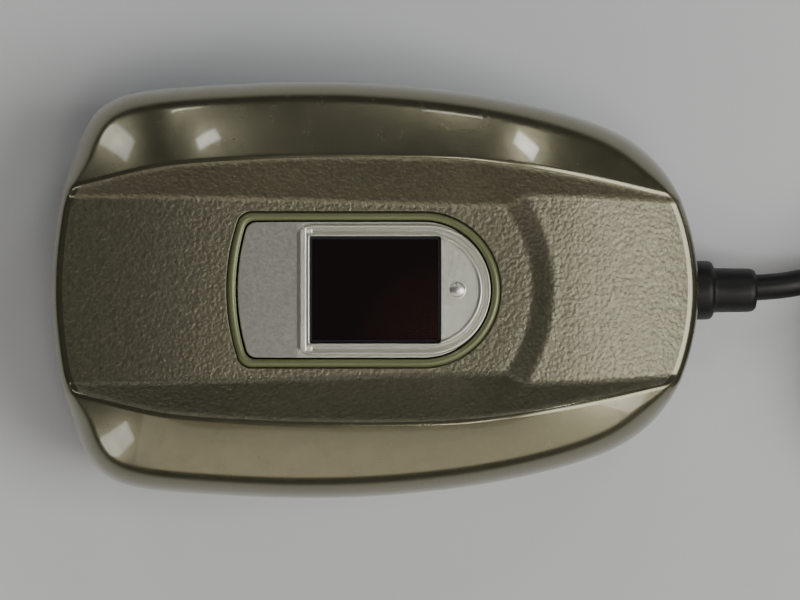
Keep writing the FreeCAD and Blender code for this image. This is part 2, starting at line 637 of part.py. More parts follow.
# plaque with a double-bead rim, window opening and a small raised nub
plaque = dee("plaque_radius", "plaque_left_x", "plaque_bottom_z", "plaque_top_z", "plaque_corner")
plaque = fillet(plaque, at_z(v("plaque_top_z")), 0.25)
rim = cut(dee_square("rim_radius", "rim_left_x", "(plaque_top_z - 0.6)", "rim_top_z", 1.4),
          dee_square("rim_inner_radius", "rim_left_inner_x", "(plaque_top_z - 1)", "(rim_top_z + 1)", 0.5))
bead_groove = cut(dee_square("rim_groove_outer", "(rim_left_x + 0.55)", "rim_groove_z", "(rim_top_z + 1)", 1.2),
                  dee_square("rim_groove_inner", "(rim_left_x + 0.85)", "(rim_groove_z - 1)", "(rim_top_z + 2)", 1.0))
rim = fillet(rim, at_z(v("rim_top_z")), 0.2)
opening = box("window_length", "window_width", 6.0, "-window_length/2", "-window_width/2", "plaque_bottom_z - 3")
nub_dome = common(ball("nub_sphere", "nub_x", 0.0, "plaque_top_z - nub_sink"), cyl("nub_sphere", 1.5, "nub_x", 0.0, "plaque_top_z - 0.5"))
node("sensor_bezel", cut(fuse(plaque, rim, nub_dome), bead_groove, opening))

# gasket and prism
gasket = cut(box("window_length - 0.04", "window_width - 0.04", "gasket_top_z - gasket_bottom_z", "-window_length/2 + 0.02", "-window_width/2 + 0.02", "gasket_bottom_z"),
             box("window_length - 2*gasket_wall", "window_width - 2*gasket_wall", 6.0, "-window_length/2 + gasket_wall", "-window_width/2 + gasket_wall", "gasket_bottom_z - 1"))
node("window_gasket", gasket)
half_l = v("window_length") / 2 - v("gasket_wall") - v("prism_clear")
half_w = v("window_width") / 2 - v("gasket_wall") - v("prism_clear")
slab = v("window_z") - v("prism_slab")
pts = [V(-half_l, -half_w, v("window_z")), V(half_l, -half_w, v("window_z")), V(half_l, -half_w, slab),
       V(v("prism_tip_half"), -half_w, v("prism_tip_z")), V(-v("prism_tip_half"), -half_w, v("prism_tip_z")), V(-half_l, -half_w, slab)]
prism = Part.Face(Part.makePolygon(pts + [pts[0]])).extrude(V(0, 2 * half_w, 0))
node("optical_prism", solid_feature("prism_glass", prism))

# feet, label, screws
feet = []
for sx, sy in (("foot_front_x", "foot_front_y"), ("foot_front_x", "-foot_front_y"), ("foot_rear_x", "foot_rear_y"), ("foot_rear_x", "-foot_rear_y")):
    pad = cyl("foot_radius - 0.05", "foot_top_z", sx, sy, 0.0)
    feet.append(fillet(pad, at_z(0.0), 0.5))
node("rubber_feet", group(*feet))
node("rating_label", plate("rating_label", "label_length", "label_width", "label_top_z - label_z", 0.0, 0.0, "label_z"))

screws = []
for sx, sy in (("post_front_x", "post_front_y"), ("post_front_x", "-post_front_y"), ("post_rear_x", "post_rear_y"), ("post_rear_x", "-post_rear_y")):
    head = cyl("screw_head_radius", "screw_head_depth", sx, sy, "counterbore_z - screw_head_depth")
    head = fillet(head, at_z(v("counterbore_z") - v("screw_head_depth")), 0.5)
    shank = cyl("screw_radius", "screw_end_z - counterbore_z - 1", sx, sy, "counterbore_z")
    tip = cone("screw_radius", "screw_radius*0.45", 1.0, sx, sy, "screw_end_z - 1")
    slot_a = box("cross_length", "cross_width", "cross_depth", sx + " - cross_length/2", sy + " - cross_width/2", "counterbore_z - screw_head_depth")
    slot_b = box("cross_width", "cross_length", "cross_depth", sx + " - cross_width/2", sy + " - cross_length/2", "counterbore_z - screw_head_depth")
    screws.append(cut(fuse(head, shank, tip), slot_a, slot_b))
node("housing_screws", group(*screws))


def small_screw(x, y, seat, end):
    """Pan-head screw whose head sits on seat and whose shank goes down to end."""
    head = cyl("small_head", "small_head_depth", x, y, seat)
    shank = cyl("small_screw", "(%s) - (%s)" % (seat, end), x, y, end)
    slot_a = box(2.2, 0.45, 0.6, x + " - 1.1", y + " - 0.225", "(%s) + small_head_depth - 0.6" % seat)
    slot_b = box(0.45, 2.2, 0.6, x + " - 0.225", y + " - 1.1", "(%s) + small_head_depth - 0.6" % seat)
    return cut(fuse(head, shank), slot_a, slot_b)


# boot
boot = [cyl("boot_flange_radius", "boot_inner_end_x - boot_inner_x", "boot_inner_x", 0.0, "cord_z", "X"),
        cyl("boot_neck_radius - 0.05", "boot_seat_x - boot_inner_end_x + 0.2", "boot_inner_end_x - 0.1", 0.0, "cord_z", "X"),
        cyl("boot_flange_radius", "boot_flange_end_x - boot_seat_x", "boot_seat_x", 0.0, "cord_z", "X"),
        cyl("boot_body_radius", "boot_end_x - boot_flange_end_x + 0.1", "boot_flange_end_x - 0.1", 0.0, "cord_z", "X")]
boot_solid = fuse(*boot)
boot_solid = fillet(boot_solid, lambda e: e.BoundBox.XLength < 1e-4 and e.BoundBox.YLength > 6.5
                    and (abs(e.BoundBox.XMin - v("boot_end_x")) < 1e-3 or (abs(e.BoundBox.XMin - v("boot_flange_end_x")) < 1e-3 and e.BoundBox.YLength > 9)), v("boot_fillet"))
boot_solid = cut(boot_solid, cyl("cord_radius + 0.01", 30.0, 40.0, 0.0, "cord_z", "X"))
node("cable_boot", boot_solid)

# optics chassis: base plate, two cheeks, lens wall, four ears
cheek_l = "chassis_front_x - chassis_back_x"
chassis_parts = [
    box(cheek_l, "2*chassis_half", "chassis_plate", "chassis_back_x", "-chassis_half", "chassis_z"),
    box(cheek_l, "chassis_cheek", "chassis_top_z - chassis_z", "chassis_back_x", "chassis_half - chassis_cheek", "chassis_z"),
    box(cheek_l, "chassis_cheek", "chassis_top_z - chassis_z", "chassis_back_x", "-chassis_half", "chassis_z"),
    box("holder_thick", "2*chassis_half", "lens_axis_z + barrel_radius + 1.6 - chassis_z", "holder_x", "-chassis_half", "chassis_z"),
]
for sx in ("ear_front_x", "ear_rear_x"):
    for sy, side in (("ear_y", 1), ("-ear_y", -1)):
        chassis_parts.append(cyl("ear_radius", "chassis_plate", sx, sy, "chassis_z"))
        chassis_parts.append(box("2*ear_radius", "ear_y - chassis_half + 0.5", "chassis_plate", sx + " - ear_radius",
                                 "chassis_half - 0.5" if side > 0 else "-ear_y", "chassis_z"))
trim_front = box(14.0, 40.0, 20.0, "chassis_front_x - 13", -20.0, "lens_axis_z + barrel_radius + 3.5")
lighten = box(9.0, 40.0, 6.0, -3.0, -20.0, 9.4)
chassis_cuts = [cyl("barrel_radius", 30.0, 15.0, 0.0, "lens_axis_z", "X"), trim_front, lighten]
for sx in ("ear_front_x", "ear_rear_x"):
    for sy in ("ear_y", "-ear_y"):
        chassis_cuts.append(cyl("small_screw + 0.25", 6.0, sx, sy, "chassis_z - 2"))
node("optics_chassis", cut(fuse(*chassis_parts), *chassis_cuts))
node("module_screws", group(*[small_screw(sx, sy, "chassis_z + chassis_plate", "small_screw_end_z")
                              for sx in ("ear_front_x", "ear_rear_x") for sy in ("ear_y", "-ear_y")]))

# light source, diffuser, mirror
s45 = math.sqrt(0.5)
cheek_inner = v("chassis_half") - v("chassis_cheek")
leg_mid = V(-(half_l + v("prism_tip_half")) / 2, 0, (slab + v("prism_tip_z")) / 2)
put_dir = V(-s45, 0, -s45)


def tilted(name, length, width, thick, centre, angle, holes=()):
    """Plate whose middle is at centre, turned about Y."""
    body = plate(name, length, width, thick, 0.0, 0.0, 0.0, axis=(0, 1, 0), angle=angle)
    normal = V(math.sin(math.radians(angle)), 0, math.cos(math.radians(angle)))
    base = centre - normal * (v(thick) / 2)
    place(body, base.x, base.y, base.z, (0, 1, 0), angle)
    return body


node("light_diffuser", tilted("light_diffuser", "diffuser_length", "diffuser_width", "diffuser_thick", leg_mid + put_dir * 1.2, 45.0))
led_centre = leg_mid + put_dir * (1.2 + 0.5 + 1.7 + v("led_board_thick") / 2)
node("led_board", tilted("led_board", "led_board_length", "led_board_width", "led_board_thick", led_centre, 45.0))
leds = []
for along in (-3.2, 3.2):
    for across in (-4.2, 4.2):
        c = led_centre - put_dir * (v("led_board_thick") / 2) + V(s45 * along, across, -s45 * along)
        b = box("led_length", "led_width", "led_height", 0.0, 0.0, 0.0, (0, 1, 0), 45.0)
        off = FreeCAD.Rotation(V(0, 1, 0), 45.0).multVec(V(-v("led_length") / 2, -v("led_width") / 2, 0))
        place(b, c.x + off.x, c.y + off.y, c.z + off.z, (0, 1, 0), 45.0)
        leds.append(b)
node("illumination_leds", group(*leds))
node("fold_mirror", tilted("fold_mirror", "mirror_length", "mirror_width", "mirror_thick", V(v("mirror_x") - 2.0, 0, v("mirror_z") + 0.4), 22.5))

# lens
barrel = cut(cyl("barrel_radius - 0.02", "barrel_end_x - barrel_start_x", "barrel_start_x", 0.0, "lens_axis_z", "X"),
             cyl("barrel_bore", 30.0, 15.0, 0.0, "lens_axis_z", "X"))
node("lens_barrel", chamfer(barrel, lambda e: abs(e.BoundBox.XMin - v("barrel_start_x")) < 1e-4 and e.BoundBox.XLength < 1e-4, 0.35))
lenses = [cyl("barrel_bore - 0.02", "lens_thick", "barrel_start_x + 0.8", 0.0, "lens_axis_z", "X"),
          cyl("barrel_bore - 0.02", "lens_thick", "barrel_end_x - lens_thick - 2.2", 0.0, "lens_axis_z", "X")]
lenses = [fillet(b, lambda e: e.BoundBox.XLength < 1e-4 and e.BoundBox.YLength > 5, 0.5) for b in lenses]
node("lens_elements", group(*lenses))

# camera board and sensor, standing behind the lens
camera = plate("camera_board", "camera_board_height", "2*camera_board_half", "camera_board_thick", 0.0, 0.0, 0.0)
place(camera, "camera_board_x", 0.0, "camera_board_z + camera_board_height/2", (0, 1, 0), 90.0)
node("camera_board", camera)
node("image_sensor", chamfer(box("sensor_thick", "sensor_side", "sensor_side", "camera_board_x - sensor_thick", "-sensor_side/2", "lens_axis_z - sensor_side/2"),
                             lambda e: abs(e.BoundBox.XMin - v("camera_board_x") + v("sensor_thick")) < 1e-4 and e.BoundBox.XLength < 1e-4, 0.2))
node("camera_header", cut(box(3.0, 7.0, 4.4, "camera_board_x + camera_board_thick", -8.6, 14.6),
                          box(2.4, 5.8, 2.6, "camera_board_x + camera_board_thick + 1.2", -8.0, 15.5)))

# main board and its parts
mid_x = "(board_x + board_length/2)"
node("main_board", plate("main_board", "board_length", "2*board_half", "board_thick", "board_x + board_length/2", 0.0, "board_z",
                         holes=[("board_hole_front_x - board_x - board_length/2", "board_hole_y"),
                                ("board_hole_front_x - board_x - board_length/2", "-board_hole_y"),
                                ("board_hole_rear_x - board_x - board_length/2", "board_hole_y"),
                                ("board_hole_rear_x - board_x - board_length/2", "-board_hole_y")],
                         hole_radius="board_hole_radius"))
node("board_screws", group(*[small_screw(sx, sy, "board_z + board_thick", "small_screw_end_z")
                             for sx in ("board_hole_front_x", "board_hole_rear_x") for sy in ("board_hole_y", "-board_hole_y")]))
deck = "board_z + board_thick"


def chip(lx, ly, lz, x, y):
    """Flat package with a row of legs on its two long sides."""
    body_part = box(lx, ly, lz, x - lx / 2, y - ly / 2, deck + " + 0.15")
    legs = [box(0.35, ly + 1.6, 0.3, x - lx / 2 + 0.8 + 1.25 * k, y - ly / 2 - 0.8, deck) for k in range(int((lx - 1.2) / 1.25) + 1)]
    return fuse(body_part, *legs)


node("controller_chips", group(chip(11.0, 11.0, 1.4, -30.0, 3.0), chip(7.0, 6.0, 1.3, -22.5, -7.4), chip(8.0, 6.0, 1.3, -35.0, -11.0)))
can = box(4.4, 10.6, 3.4, -22.6, -2.9, deck)
node("crystal", fillet(can, upright, 2.1))
caps = []
for x, y in ((-39.5, 8.0), (-39.5, 2.6), (-36.4, 13.2)):
    caps.append(fillet(cyl(2.0, 5.4, x, y, deck), at_z(v("board_z") + v("board_thick") + 5.4), 0.4))
node("capacitors", group(*caps))
node("usb_header", cut(box(5.0, 9.0, 4.6, -30.0, 10.0, deck), box(6.0, 7.4, 3.2, -28.8, 10.8, deck + " + 0.9")))
node("sensor_header", cut(box(4.6, 7.0, 4.4, -27.6, -18.4, deck), box(6.0, 5.8, 3.0, -26.4, -17.8, deck + " + 0.9")))

# ballast plate under the optics
node("ballast_plate", plate("ballast_plate", "ballast_length", "2*ballast_half", "chassis_z - inner_floor_z - 0.02", "ballast_x + ballast_length/2", 0.0, "inner_floor_z"))

# cable clamp and its screws
clamp = box("clamp_length", "2*clamp_half", "clamp_top_z - cord_z - 0.05", "clamp_x", "-clamp_half", "cord_z + 0.05")
clamp = fillet(clamp, lambda e: abs(e.BoundBox.ZMin - v("clamp_top_z")) < 1e-4 and e.BoundBox.YLength < 1e-4, 1.0)
node("cable_clamp", cut(clamp, cyl("cord_radius", "clamp_length + 2", "clamp_x - 1", 0.0, "cord_z", "X"),
                        cyl("small_screw + 0.2", 8.0, "clamp_x + clamp_length/2", "clamp_screw_y", "cord_z - 2"),
                        cyl("small_screw + 0.2", 8.0, "clamp_x + clamp_length/2", "-clamp_screw_y", "cord_z - 2")))
node("clamp_screws", group(small_screw("clamp_x + clamp_length/2", "clamp_screw_y", "clamp_top_z", "inner_floor_z + 1.2"),
                           small_screw("clamp_x + clamp_length/2", "-clamp_screw_y", "clamp_top_z", "inner_floor_z + 1.2")))


# wires and the free cord: straight runs joined by arcs
def cord_tube(route, radius):
    p = [V(*q) for q in route]
    edges = []
    here = p[0]
    total = 0.0
    for k in range(1, len(p) - 1):
        a, b, c = p[k - 1], p[k], p[k + 1]
        d1, d2 = (b - a).normalize(), (c - b).normalize()
        turn = math.acos(max(-1.0, min(1.0, d1.dot(d2))))
        reach = 0.45 * min(p[k].distanceToPoint(p[k - 1]), p[k].distanceToPoint(p[k + 1]))
        r = reach / math.tan(turn / 2)
        print("cord turn", round(math.degrees(turn), 1), "radius", round(r, 1), "diameters", round(r / (2 * radius), 1))
        s, e = b - d1 * reach, b + d2 * reach
        to_mid = (d2 - d1).normalize()
        centre = b + to_mid * math.hypot(r, reach)
        mid = centre - to_mid * r
        edges.append(Part.LineSegment(here, s).toShape())
        edges.append(Part.Arc(s, mid, e).toShape())
        total += here.distanceToPoint(s) + r * turn
        here = e
    edges.append(Part.LineSegment(here, p[-1]).toShape())
    total += here.distanceToPoint(p[-1])
    w = Part.Wire(edges)
    ring = Part.Wire([Part.makeCircle(radius, p[0], (p[1] - p[0]))])
    solid = w.makePipeShell([ring], True, True)
    print("cord length", round(total, 1), "volume ratio", round(solid.Volume / (math.pi * radius * radius * total), 3))
    return solid


wires = []
for k in range(4):
    o = (k % 2) * 1.15
    u = (k // 2) * 1.15
    y0 = -0.58 + o
    x1 = 34.1 + 0.9 * o
    wires.append(cord_tube([(37.1, y0, 8.4 + u), (x1, y0, 8.4 + u), (x1, 11.4 + o, 8.4 + u), (29.0, 12.3 + o, 9.5 + u),
                            (8.0, 12.8 + o, 9.8 + u), (-9.0, 12.9 + o, 9.7 + u), (-14.4, 13.2 + o, 9.5 + u), (-22.1, 13.6 + o, 9.4 + u)], v("wire_radius")))
node("harness_wires", solid_feature("wire_set", Part.makeCompound(wires)))
node("harness_plug", box(6.4, 7.2, 3.0, -28.6, 10.9, deck + " + 1.0"))
cable = cord_tube([(37.05, -5.2, 16.8), (40.2, -5.2, 16.8), (39.2, -12.2, 11.6), (30.0, -13.4, 10.2), (8.0, -14.0, 9.9), (-8.0, -14.6, 9.9), (-14.0, -14.9, 10.0), (-20.35, -14.9, 10.0)], v("camera_cable_radius"))
node("camera_cable", solid_feature("camera_cable_jacket", cable))
node("camera_plugs", group(box(5.8, 5.6, 2.8, -26.2, -17.7, deck + " + 1.0"), box(2.2, 5.6, 2.4, "camera_board_x + camera_board_thick + 1.3", -7.9, 15.6)))

# ------------------------------------------------------------------- cord
ROUTE = [(37.2, 0.0, 9.0), (60.0, 0.0, 9.0), (70.5, 1.8, 6.3), (82.0, 5.4, 2.3)]


node("cord", solid_feature("cord_tube", cord_tube(ROUTE, v("cord_radius"))))

# coil: outer shape of the wound cord, and its tie
cw, ch, cr = v("coil_width") / 2, v("coil_height"), v("coil_corner")
cx, cy, R = v("coil_x"), v("coil_y"), v("coil_radius")


def rounded(x0, x1, z0, z1, r):
    e = []
    q = r * (1 - math.sqrt(0.5))
    e.append(Part.LineSegment(V(x0 + r, 0, z0), V(x1 - r, 0, z0)).toShape())
    e.append(Part.Arc(V(x1 - r, 0, z0), V(x1 - q, 0, z0 + q), V(x1, 0, z0 + r)).toShape())
    e.append(Part.LineSegment(V(x1, 0, z0 + r), V(x1, 0, z1 - r)).toShape())
    e.append(Part.Arc(V(x1, 0, z1 - r), V(x1 - q, 0, z1 - q), V(x1 - r, 0, z1)).toShape())
    e.append(Part.LineSegment(V(x1 - r, 0, z1), V(x0 + r, 0, z1)).toShape())
    e.append(Part.Arc(V(x0 + r, 0, z1), V(x0 + q, 0, z1 - q), V(x0, 0, z1 - r)).toShape())
    e.append(Part.LineSegment(V(x0, 0, z1 - r), V(x0, 0, z0 + r)).toShape())
    e.append(Part.Arc(V(x0, 0, z0 + r), V(x0 + q, 0, z0 + q), V(x0 + r, 0, z0)).toShape())
    return Part.Face(Part.Wire(e))


ring_face = rounded(R - cw, R + cw, 0.0, ch, cr)
coil = ring_face.revolve(V(0, 0, 0), V(0, 0, 1), 360)
coil.translate(V(cx, cy, 0))
tie_l, tw, tg = v("tie_length"), v("tie_wall"), v("tie_grip")
tie_outer = rounded(-cw - tw + tg, cw + tw - tg, 0.0, ch + tw - tg, cr)
tie_inner = rounded(-cw + tg, cw - tg, tw, ch - tg, cr - 0.5)
tie = tie_outer.extrude(V(0, tie_l, 0)).cut(tie_inner.extrude(V(0, tie_l, 0)))
tie.translate(V(0, -tie_l / 2, 0))
tie.rotate(V(0, 0, 0), V(0, 0, 1), 90)
tie.translate(V(cx, cy + R, 0))
coil_f = solid_feature("coil_ring", coil)
tie_f = solid_feature("tie_band", tie)
node("cord_coil", cut(coil_f, tie_f))
tie_out = solid_feature("tie_strap", tie)
node("cord_tie", tie_out)

# plug lying on the coil, built along +Y and mirrored to point along -Y
pz = "(coil_height + plug_height/2)"
mould = box("plug_width", "plug_length", "plug_height", "plug_x - plug_width/2", "plug_back_y", "coil_height")
mould = fillet(mould, lambda e: e.BoundBox.YLength > 10 and e.BoundBox.XLength < 1e-4, 1.8)
mould = fillet(mould, lambda e: abs(e.BoundBox.YMin - v("plug_back_y")) < 1e-4 and e.BoundBox.YLength < 1e-4, 1.2)
nub = cone("plug_nub_radius - 0.5", "plug_nub_radius", "plug_nub + 0.2", "plug_x", "plug_back_y - plug_nub", pz, "Y")
nub_hole = cyl("cord_radius", "plug_nub", "plug_x", "plug_back_y - plug_nub", pz, "Y")
socket = box("shell_width", 4.0, "shell_height", "plug_x - shell_width/2", "plug_back_y + plug_length - 4", pz + " - shell_height/2")
node("usb_overmould", flipped(cut(fuse(mould, nub), nub_hole, socket)))
shell_out = box("shell_width", "shell_length + 4", "shell_height", "plug_x - shell_width/2", "plug_back_y + plug_length - 4", pz + " - shell_height/2")
shell_out = fillet(shell_out, lambda e: e.BoundBox.YLength > 10 and e.BoundBox.XLength < 1e-4, 0.5)
shell_in = box("shell_width - 2*shell_wall", "shell_length + 4.2", "shell_height - 2*shell_wall", "plug_x - shell_width/2 + shell_wall", "plug_back_y + plug_length - 4.1", pz + " - shell_height/2 + shell_wall")
windows = [box(2.5, 2.5, 6.0, "plug_x + 1.6", "plug_back_y + plug_length + 9", pz), box(2.5, 2.5, 6.0, "plug_x - 4.1", "plug_back_y + plug_length + 9", pz),
           box(2.5, 2.5, 6.0, "plug_x + 1.6", "plug_back_y + plug_length + 9", pz + " - 6"), box(2.5, 2.5, 6.0, "plug_x - 4.1", "plug_back_y + plug_length + 9", pz + " - 6")]
node("usb_shell", flipped(cut(shell_out, shell_in, *windows)))
node("usb_tongue", flipped(box("tongue_width", "tongue_length + 4", "tongue_height", "plug_x - tongue_width/2", "plug_back_y + plug_length - 4", pz + " + shell_height/2 - shell_wall - tongue_height")))
pins = [box("contact_width", "contact_length", "contact_height", "plug_x + %s - contact_width/2" % off, "plug_back_y + plug_length + 8.4",
            pz + " + shell_height/2 - shell_wall - tongue_height - contact_height") for off in (-3.5, -1.0, 1.0, 3.5)]
node("usb_contacts", flipped(group(*pins)))

# ------------------------------------------------------------------- output
doc.recompute()
bad = []
for o in doc.Objects:
    if "Invalid" in o.State or "Error" in o.State:
        bad.append(o.Name + str(o.State))
if bad:
    raise RuntimeError("objects with errors: " + ", ".join(bad))
os.makedirs("parts", exist_ok=True)
for old in os.listdir("parts"):
    if old.endswith(".step") and old[:-5] not in NODES:
        os.remove(os.path.join("parts", old))
for name, obj in sorted(NODES.items()):
    shape = obj.Shape
    if shape.isNull() or not shape.isValid() or not shape.Solids:
        raise RuntimeError(name + " has no valid solid")
    b = shape.optimalBoundingBox(False, False)
    print("%-18s solids %2d vol %9.1f  x %7.2f %7.2f y %7.2f %7.2f z %6.2f %6.2f" % (name, len(shape.Solids), shape.Volume, b.XMin, b.XMax, b.YMin, b.YMax, b.ZMin, b.ZMax))
    shape.exportStep("parts/" + name + ".step")
print(len(NODES), "nodes")
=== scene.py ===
import math
import bpy
import numpy as np
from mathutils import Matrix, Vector


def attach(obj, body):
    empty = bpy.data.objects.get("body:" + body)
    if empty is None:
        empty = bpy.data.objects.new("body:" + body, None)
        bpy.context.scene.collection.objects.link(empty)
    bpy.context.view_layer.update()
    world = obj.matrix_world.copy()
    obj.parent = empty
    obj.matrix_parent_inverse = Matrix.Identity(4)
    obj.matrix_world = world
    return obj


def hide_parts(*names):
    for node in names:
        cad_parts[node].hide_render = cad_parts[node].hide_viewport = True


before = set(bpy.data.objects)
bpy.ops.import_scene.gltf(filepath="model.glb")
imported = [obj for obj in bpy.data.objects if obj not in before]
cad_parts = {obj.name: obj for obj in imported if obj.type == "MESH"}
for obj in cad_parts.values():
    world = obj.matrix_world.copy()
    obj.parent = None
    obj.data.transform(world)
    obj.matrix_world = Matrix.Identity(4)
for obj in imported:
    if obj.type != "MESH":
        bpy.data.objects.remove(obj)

MM = 0.001
scene = bpy.context.scene
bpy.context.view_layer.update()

# ------------------------------------------------------------------ camera
cam_data = bpy.data.cameras.new("camera")
cam_data.sensor_width = 36.0
cam_data.lens = 140.0
cam_data.clip_start = 0.01
cam_data.clip_end = 20.0
cam = bpy.data.objects.new("camera", cam_data)
scene.collection.objects.link(cam)
cam.location = (0.00376, -0.00154, 0.5)
cam.rotation_euler = (0.0, 0.0, 0.0)
scene.camera = cam


# ------------------------------------------------------------------ materials
class Nodes:
    """Short helper for building one procedural material."""

    def __init__(self, name, base, rough, metallic=0.0, coat=0.0, coat_rough=0.06, specular=0.5, ior=1.5):
        self.m = bpy.data.materials.new(name)
        self.m.use_nodes = True
        self.t = self.m.node_tree
        self.b = self.t.nodes["Principled BSDF"]
        self.b.inputs["Base Color"].default_value = (*base, 1.0)
        self.b.inputs["Roughness"].default_value = rough
        self.b.inputs["Metallic"].default_value = metallic
        self.b.inputs["Coat Weight"].default_value = coat
        self.b.inputs["Coat Roughness"].default_value = coat_rough
        self.b.inputs["Specular IOR Level"].default_value = specular
        self.b.inputs["IOR"].default_value = ior
        self.base, self.rough = base, rough
        self.coord = self.t.nodes.new("ShaderNodeTexCoord").outputs["Object"]
        self.normal = None

    def noise(self, size_mm, detail=3.0, rough=0.55, stretch=None, distortion=0.0):
        src = self.coord
        if stretch:
            mp = self.t.nodes.new("ShaderNodeMapping")
            mp.inputs["Scale"].default_value = stretch
            self.t.links.new(src, mp.inputs["Vector"])
            src = mp.outputs["Vector"]
        n = self.t.nodes.new("ShaderNodeTexNoise")
        n.inputs["Scale"].default_value = 1000.0 / size_mm
        n.inputs["Detail"].default_value = detail
        n.inputs["Roughness"].default_value = rough
        n.inputs["Distortion"].default_value = distortion
        self.t.links.new(src, n.inputs["Vector"])
        return n.outputs["Fac"]

    def cells(self, size_mm, feature="SMOOTH_F1", randomness=1.0, smooth=0.6):
        n = self.t.nodes.new("ShaderNodeTexVoronoi")
        n.feature = feature
        n.inputs["Scale"].default_value = 1000.0 / size_mm
        n.inputs["Randomness"].default_value = randomness
        if feature == "SMOOTH_F1":
            n.inputs["Smoothness"].default_value = smooth
        self.t.links.new(self.coord, n.inputs["Vector"])
        return n.outputs["Distance"]

    def remap(self, src, a, b, lo=0.3, hi=0.7):
        r = self.t.nodes.new("ShaderNodeMapRange")
        r.inputs["From Min"].default_value = lo
        r.inputs["From Max"].default_value = hi
        r.inputs["To Min"].default_value = a
        r.inputs["To Max"].default_value = b
        self.t.links.new(src, r.inputs["Value"])
        return r.outputs["Result"]

    def colour(self, src, a, b, lo=0.3, hi=0.7):
        mix = self.t.nodes.new("ShaderNodeMix")
        mix.data_type = "RGBA"
        mix.inputs["A"].default_value = (*a, 1.0)
        mix.inputs["B"].default_value = (*b, 1.0)
        self.t.links.new(self.remap(src, 0.0, 1.0, lo, hi), mix.inputs["Factor"])
        return mix.outputs["Result"]

    def tint(self, src, amount, lo=0.3, hi=0.7):
        a = tuple(c * (1 - amount) for c in self.base)
        b = tuple(min(1.0, c * (1 + amount)) for c in self.base)
        self.t.links.new(self.colour(src, a, b, lo, hi), self.b.inputs["Base Color"])
        return self

    def vary(self, src, amount, lo=0.3, hi=0.7):
        self.t.links.new(self.remap(src, max(0.02, self.rough - amount), self.rough + amount, lo, hi), self.b.inputs["Roughness"])
        return self

    def bump(self, src, height_mm, strength=1.0, coat=True):
        n = self.t.nodes.new("ShaderNodeBump")
        n.inputs["Strength"].default_value = strength
        n.inputs["Distance"].default_value = height_mm * MM
        self.t.links.new(src, n.inputs["Height"])
        if self.normal:
            self.t.links.new(self.normal, n.inputs["Normal"])
        self.normal = n.outputs["Normal"]
        self.t.links.new(self.normal, self.b.inputs["Normal"])
        if coat:
            self.t.links.new(self.normal, self.b.inputs["Coat Normal"])
        return self


def add(m, a, b, wa=1.0, wb=1.0):
    """Weighted sum of two height fields."""
    x = m.t.nodes.new("ShaderNodeMath")
    x.operation = "MULTIPLY"
    x.inputs[1].default_value = wa
    m.t.links.new(a, x.inputs[0])
    y = m.t.nodes.new("ShaderNodeMath")
    y.operation = "MULTIPLY_ADD"
    y.inputs[1].default_value = wb
    m.t.links.new(b, y.inputs[0])
    m.t.links.new(x.outputs[0], y.inputs[2])
    return y.outputs[0]


def plain(name, base, rough, metallic=0.0, coat=0.0, grain=0.5, depth=0.01, tint=0.08, vary=0.06, **more):
    m = Nodes(name, base, rough, metallic, coat, **more)
    m.tint(m.noise(grain * 6, 4), tint)
    m.vary(m.noise(grain * 3, 3), vary)
    m.bump(m.noise(grain, 3), depth)
    return m.m


BRONZE = (0.208, 0.198, 0.126)
gloss = Nodes("shell_gloss", BRONZE, 0.25, 0.85, 0.85, 0.05)
gloss.tint(gloss.noise(0.9, 2), 0.04)
gloss.vary(gloss.noise(3.0, 3), 0.03)
gloss.bump(gloss.noise(9.0, 0), 0.030)          # slow orange peel of the lacquer

leather = Nodes("shell_textured", (0.220, 0.210, 0.145), 0.42, 0.80, 0.20, 0.18)
leather.tint(leather.noise(0.8, 4), 0.14)
leather.vary(leather.noise(0.9, 3), 0.06)
pebble = leather.cells(0.62)
worms = leather.noise(0.55, 3, 0.6, distortion=0.5)
leather.bump(add(leather, pebble, worms, -0.7, 1.0), 0.105)

ring_mat = Nodes("ring_olive", (0.200, 0.220, 0.108), 0.38, 0.35, 0.35, 0.10)
ring_mat.tint(ring_mat.noise(0.3, 3), 0.06)
ring_mat.vary(ring_mat.noise(2.0, 3), 0.04)
ring_mat.bump(ring_mat.noise(0.25, 2), 0.0025)

plaque_mat = Nodes("plaque_silver", (0.84, 0.845, 0.755), 0.33, 0.90, 0.10, 0.12)
plaque_mat.tint(plaque_mat.noise(0.14, 2), 0.05)
plaque_mat.vary(plaque_mat.noise(0.5, 3), 0.05)
plaque_mat.bump(plaque_mat.noise(0.13, 3, 0.7), 0.006)

glass = Nodes("optical_glass", (0.010, 0.006, 0.006), 0.06, 0.0, 0.0, specular=0.5, ior=1.52)
sheen_corner_distance = glass.t.nodes.new("ShaderNodeVectorMath")      # distance from the lower right corner of the pane, the centre of the painted reddish sheen
sheen_corner_distance.operation = "DISTANCE"
sheen_corner_distance.inputs[1].default_value = (0.0115, -0.0100, 0.0285)
glass.t.links.new(glass.coord, sheen_corner_distance.inputs[0])
# painted reflection: a dotted reddish sheen of the lit LEDs, strongest at the lower right corner of the pane and fading
# out over 16.5 mm, is mixed into the base colour below
sheen_falloff = glass.remap(sheen_corner_distance.outputs["Value"], 1.0, 0.0, 0.001, 0.0165)
sheen_dots = glass.remap(glass.cells(0.42, "F1", 0.15), 1.0, 0.25, 0.10, 0.55)
painted_red_sheen = glass.t.nodes.new("ShaderNodeMath")
painted_red_sheen.operation = "MULTIPLY"
glass.t.links.new(sheen_falloff, painted_red_sheen.inputs[0])
glass.t.links.new(sheen_dots, painted_red_sheen.inputs[1])
glass.t.links.new(glass.colour(painted_red_sheen.outputs[0], (0.007, 0.0042, 0.004), (0.060, 0.021, 0.015), 0.0, 1.0), glass.b.inputs["Base Color"])
glass.vary(glass.noise(6.0, 3), 0.03)
glass.bump(glass.noise(5.0, 2), 0.0006)

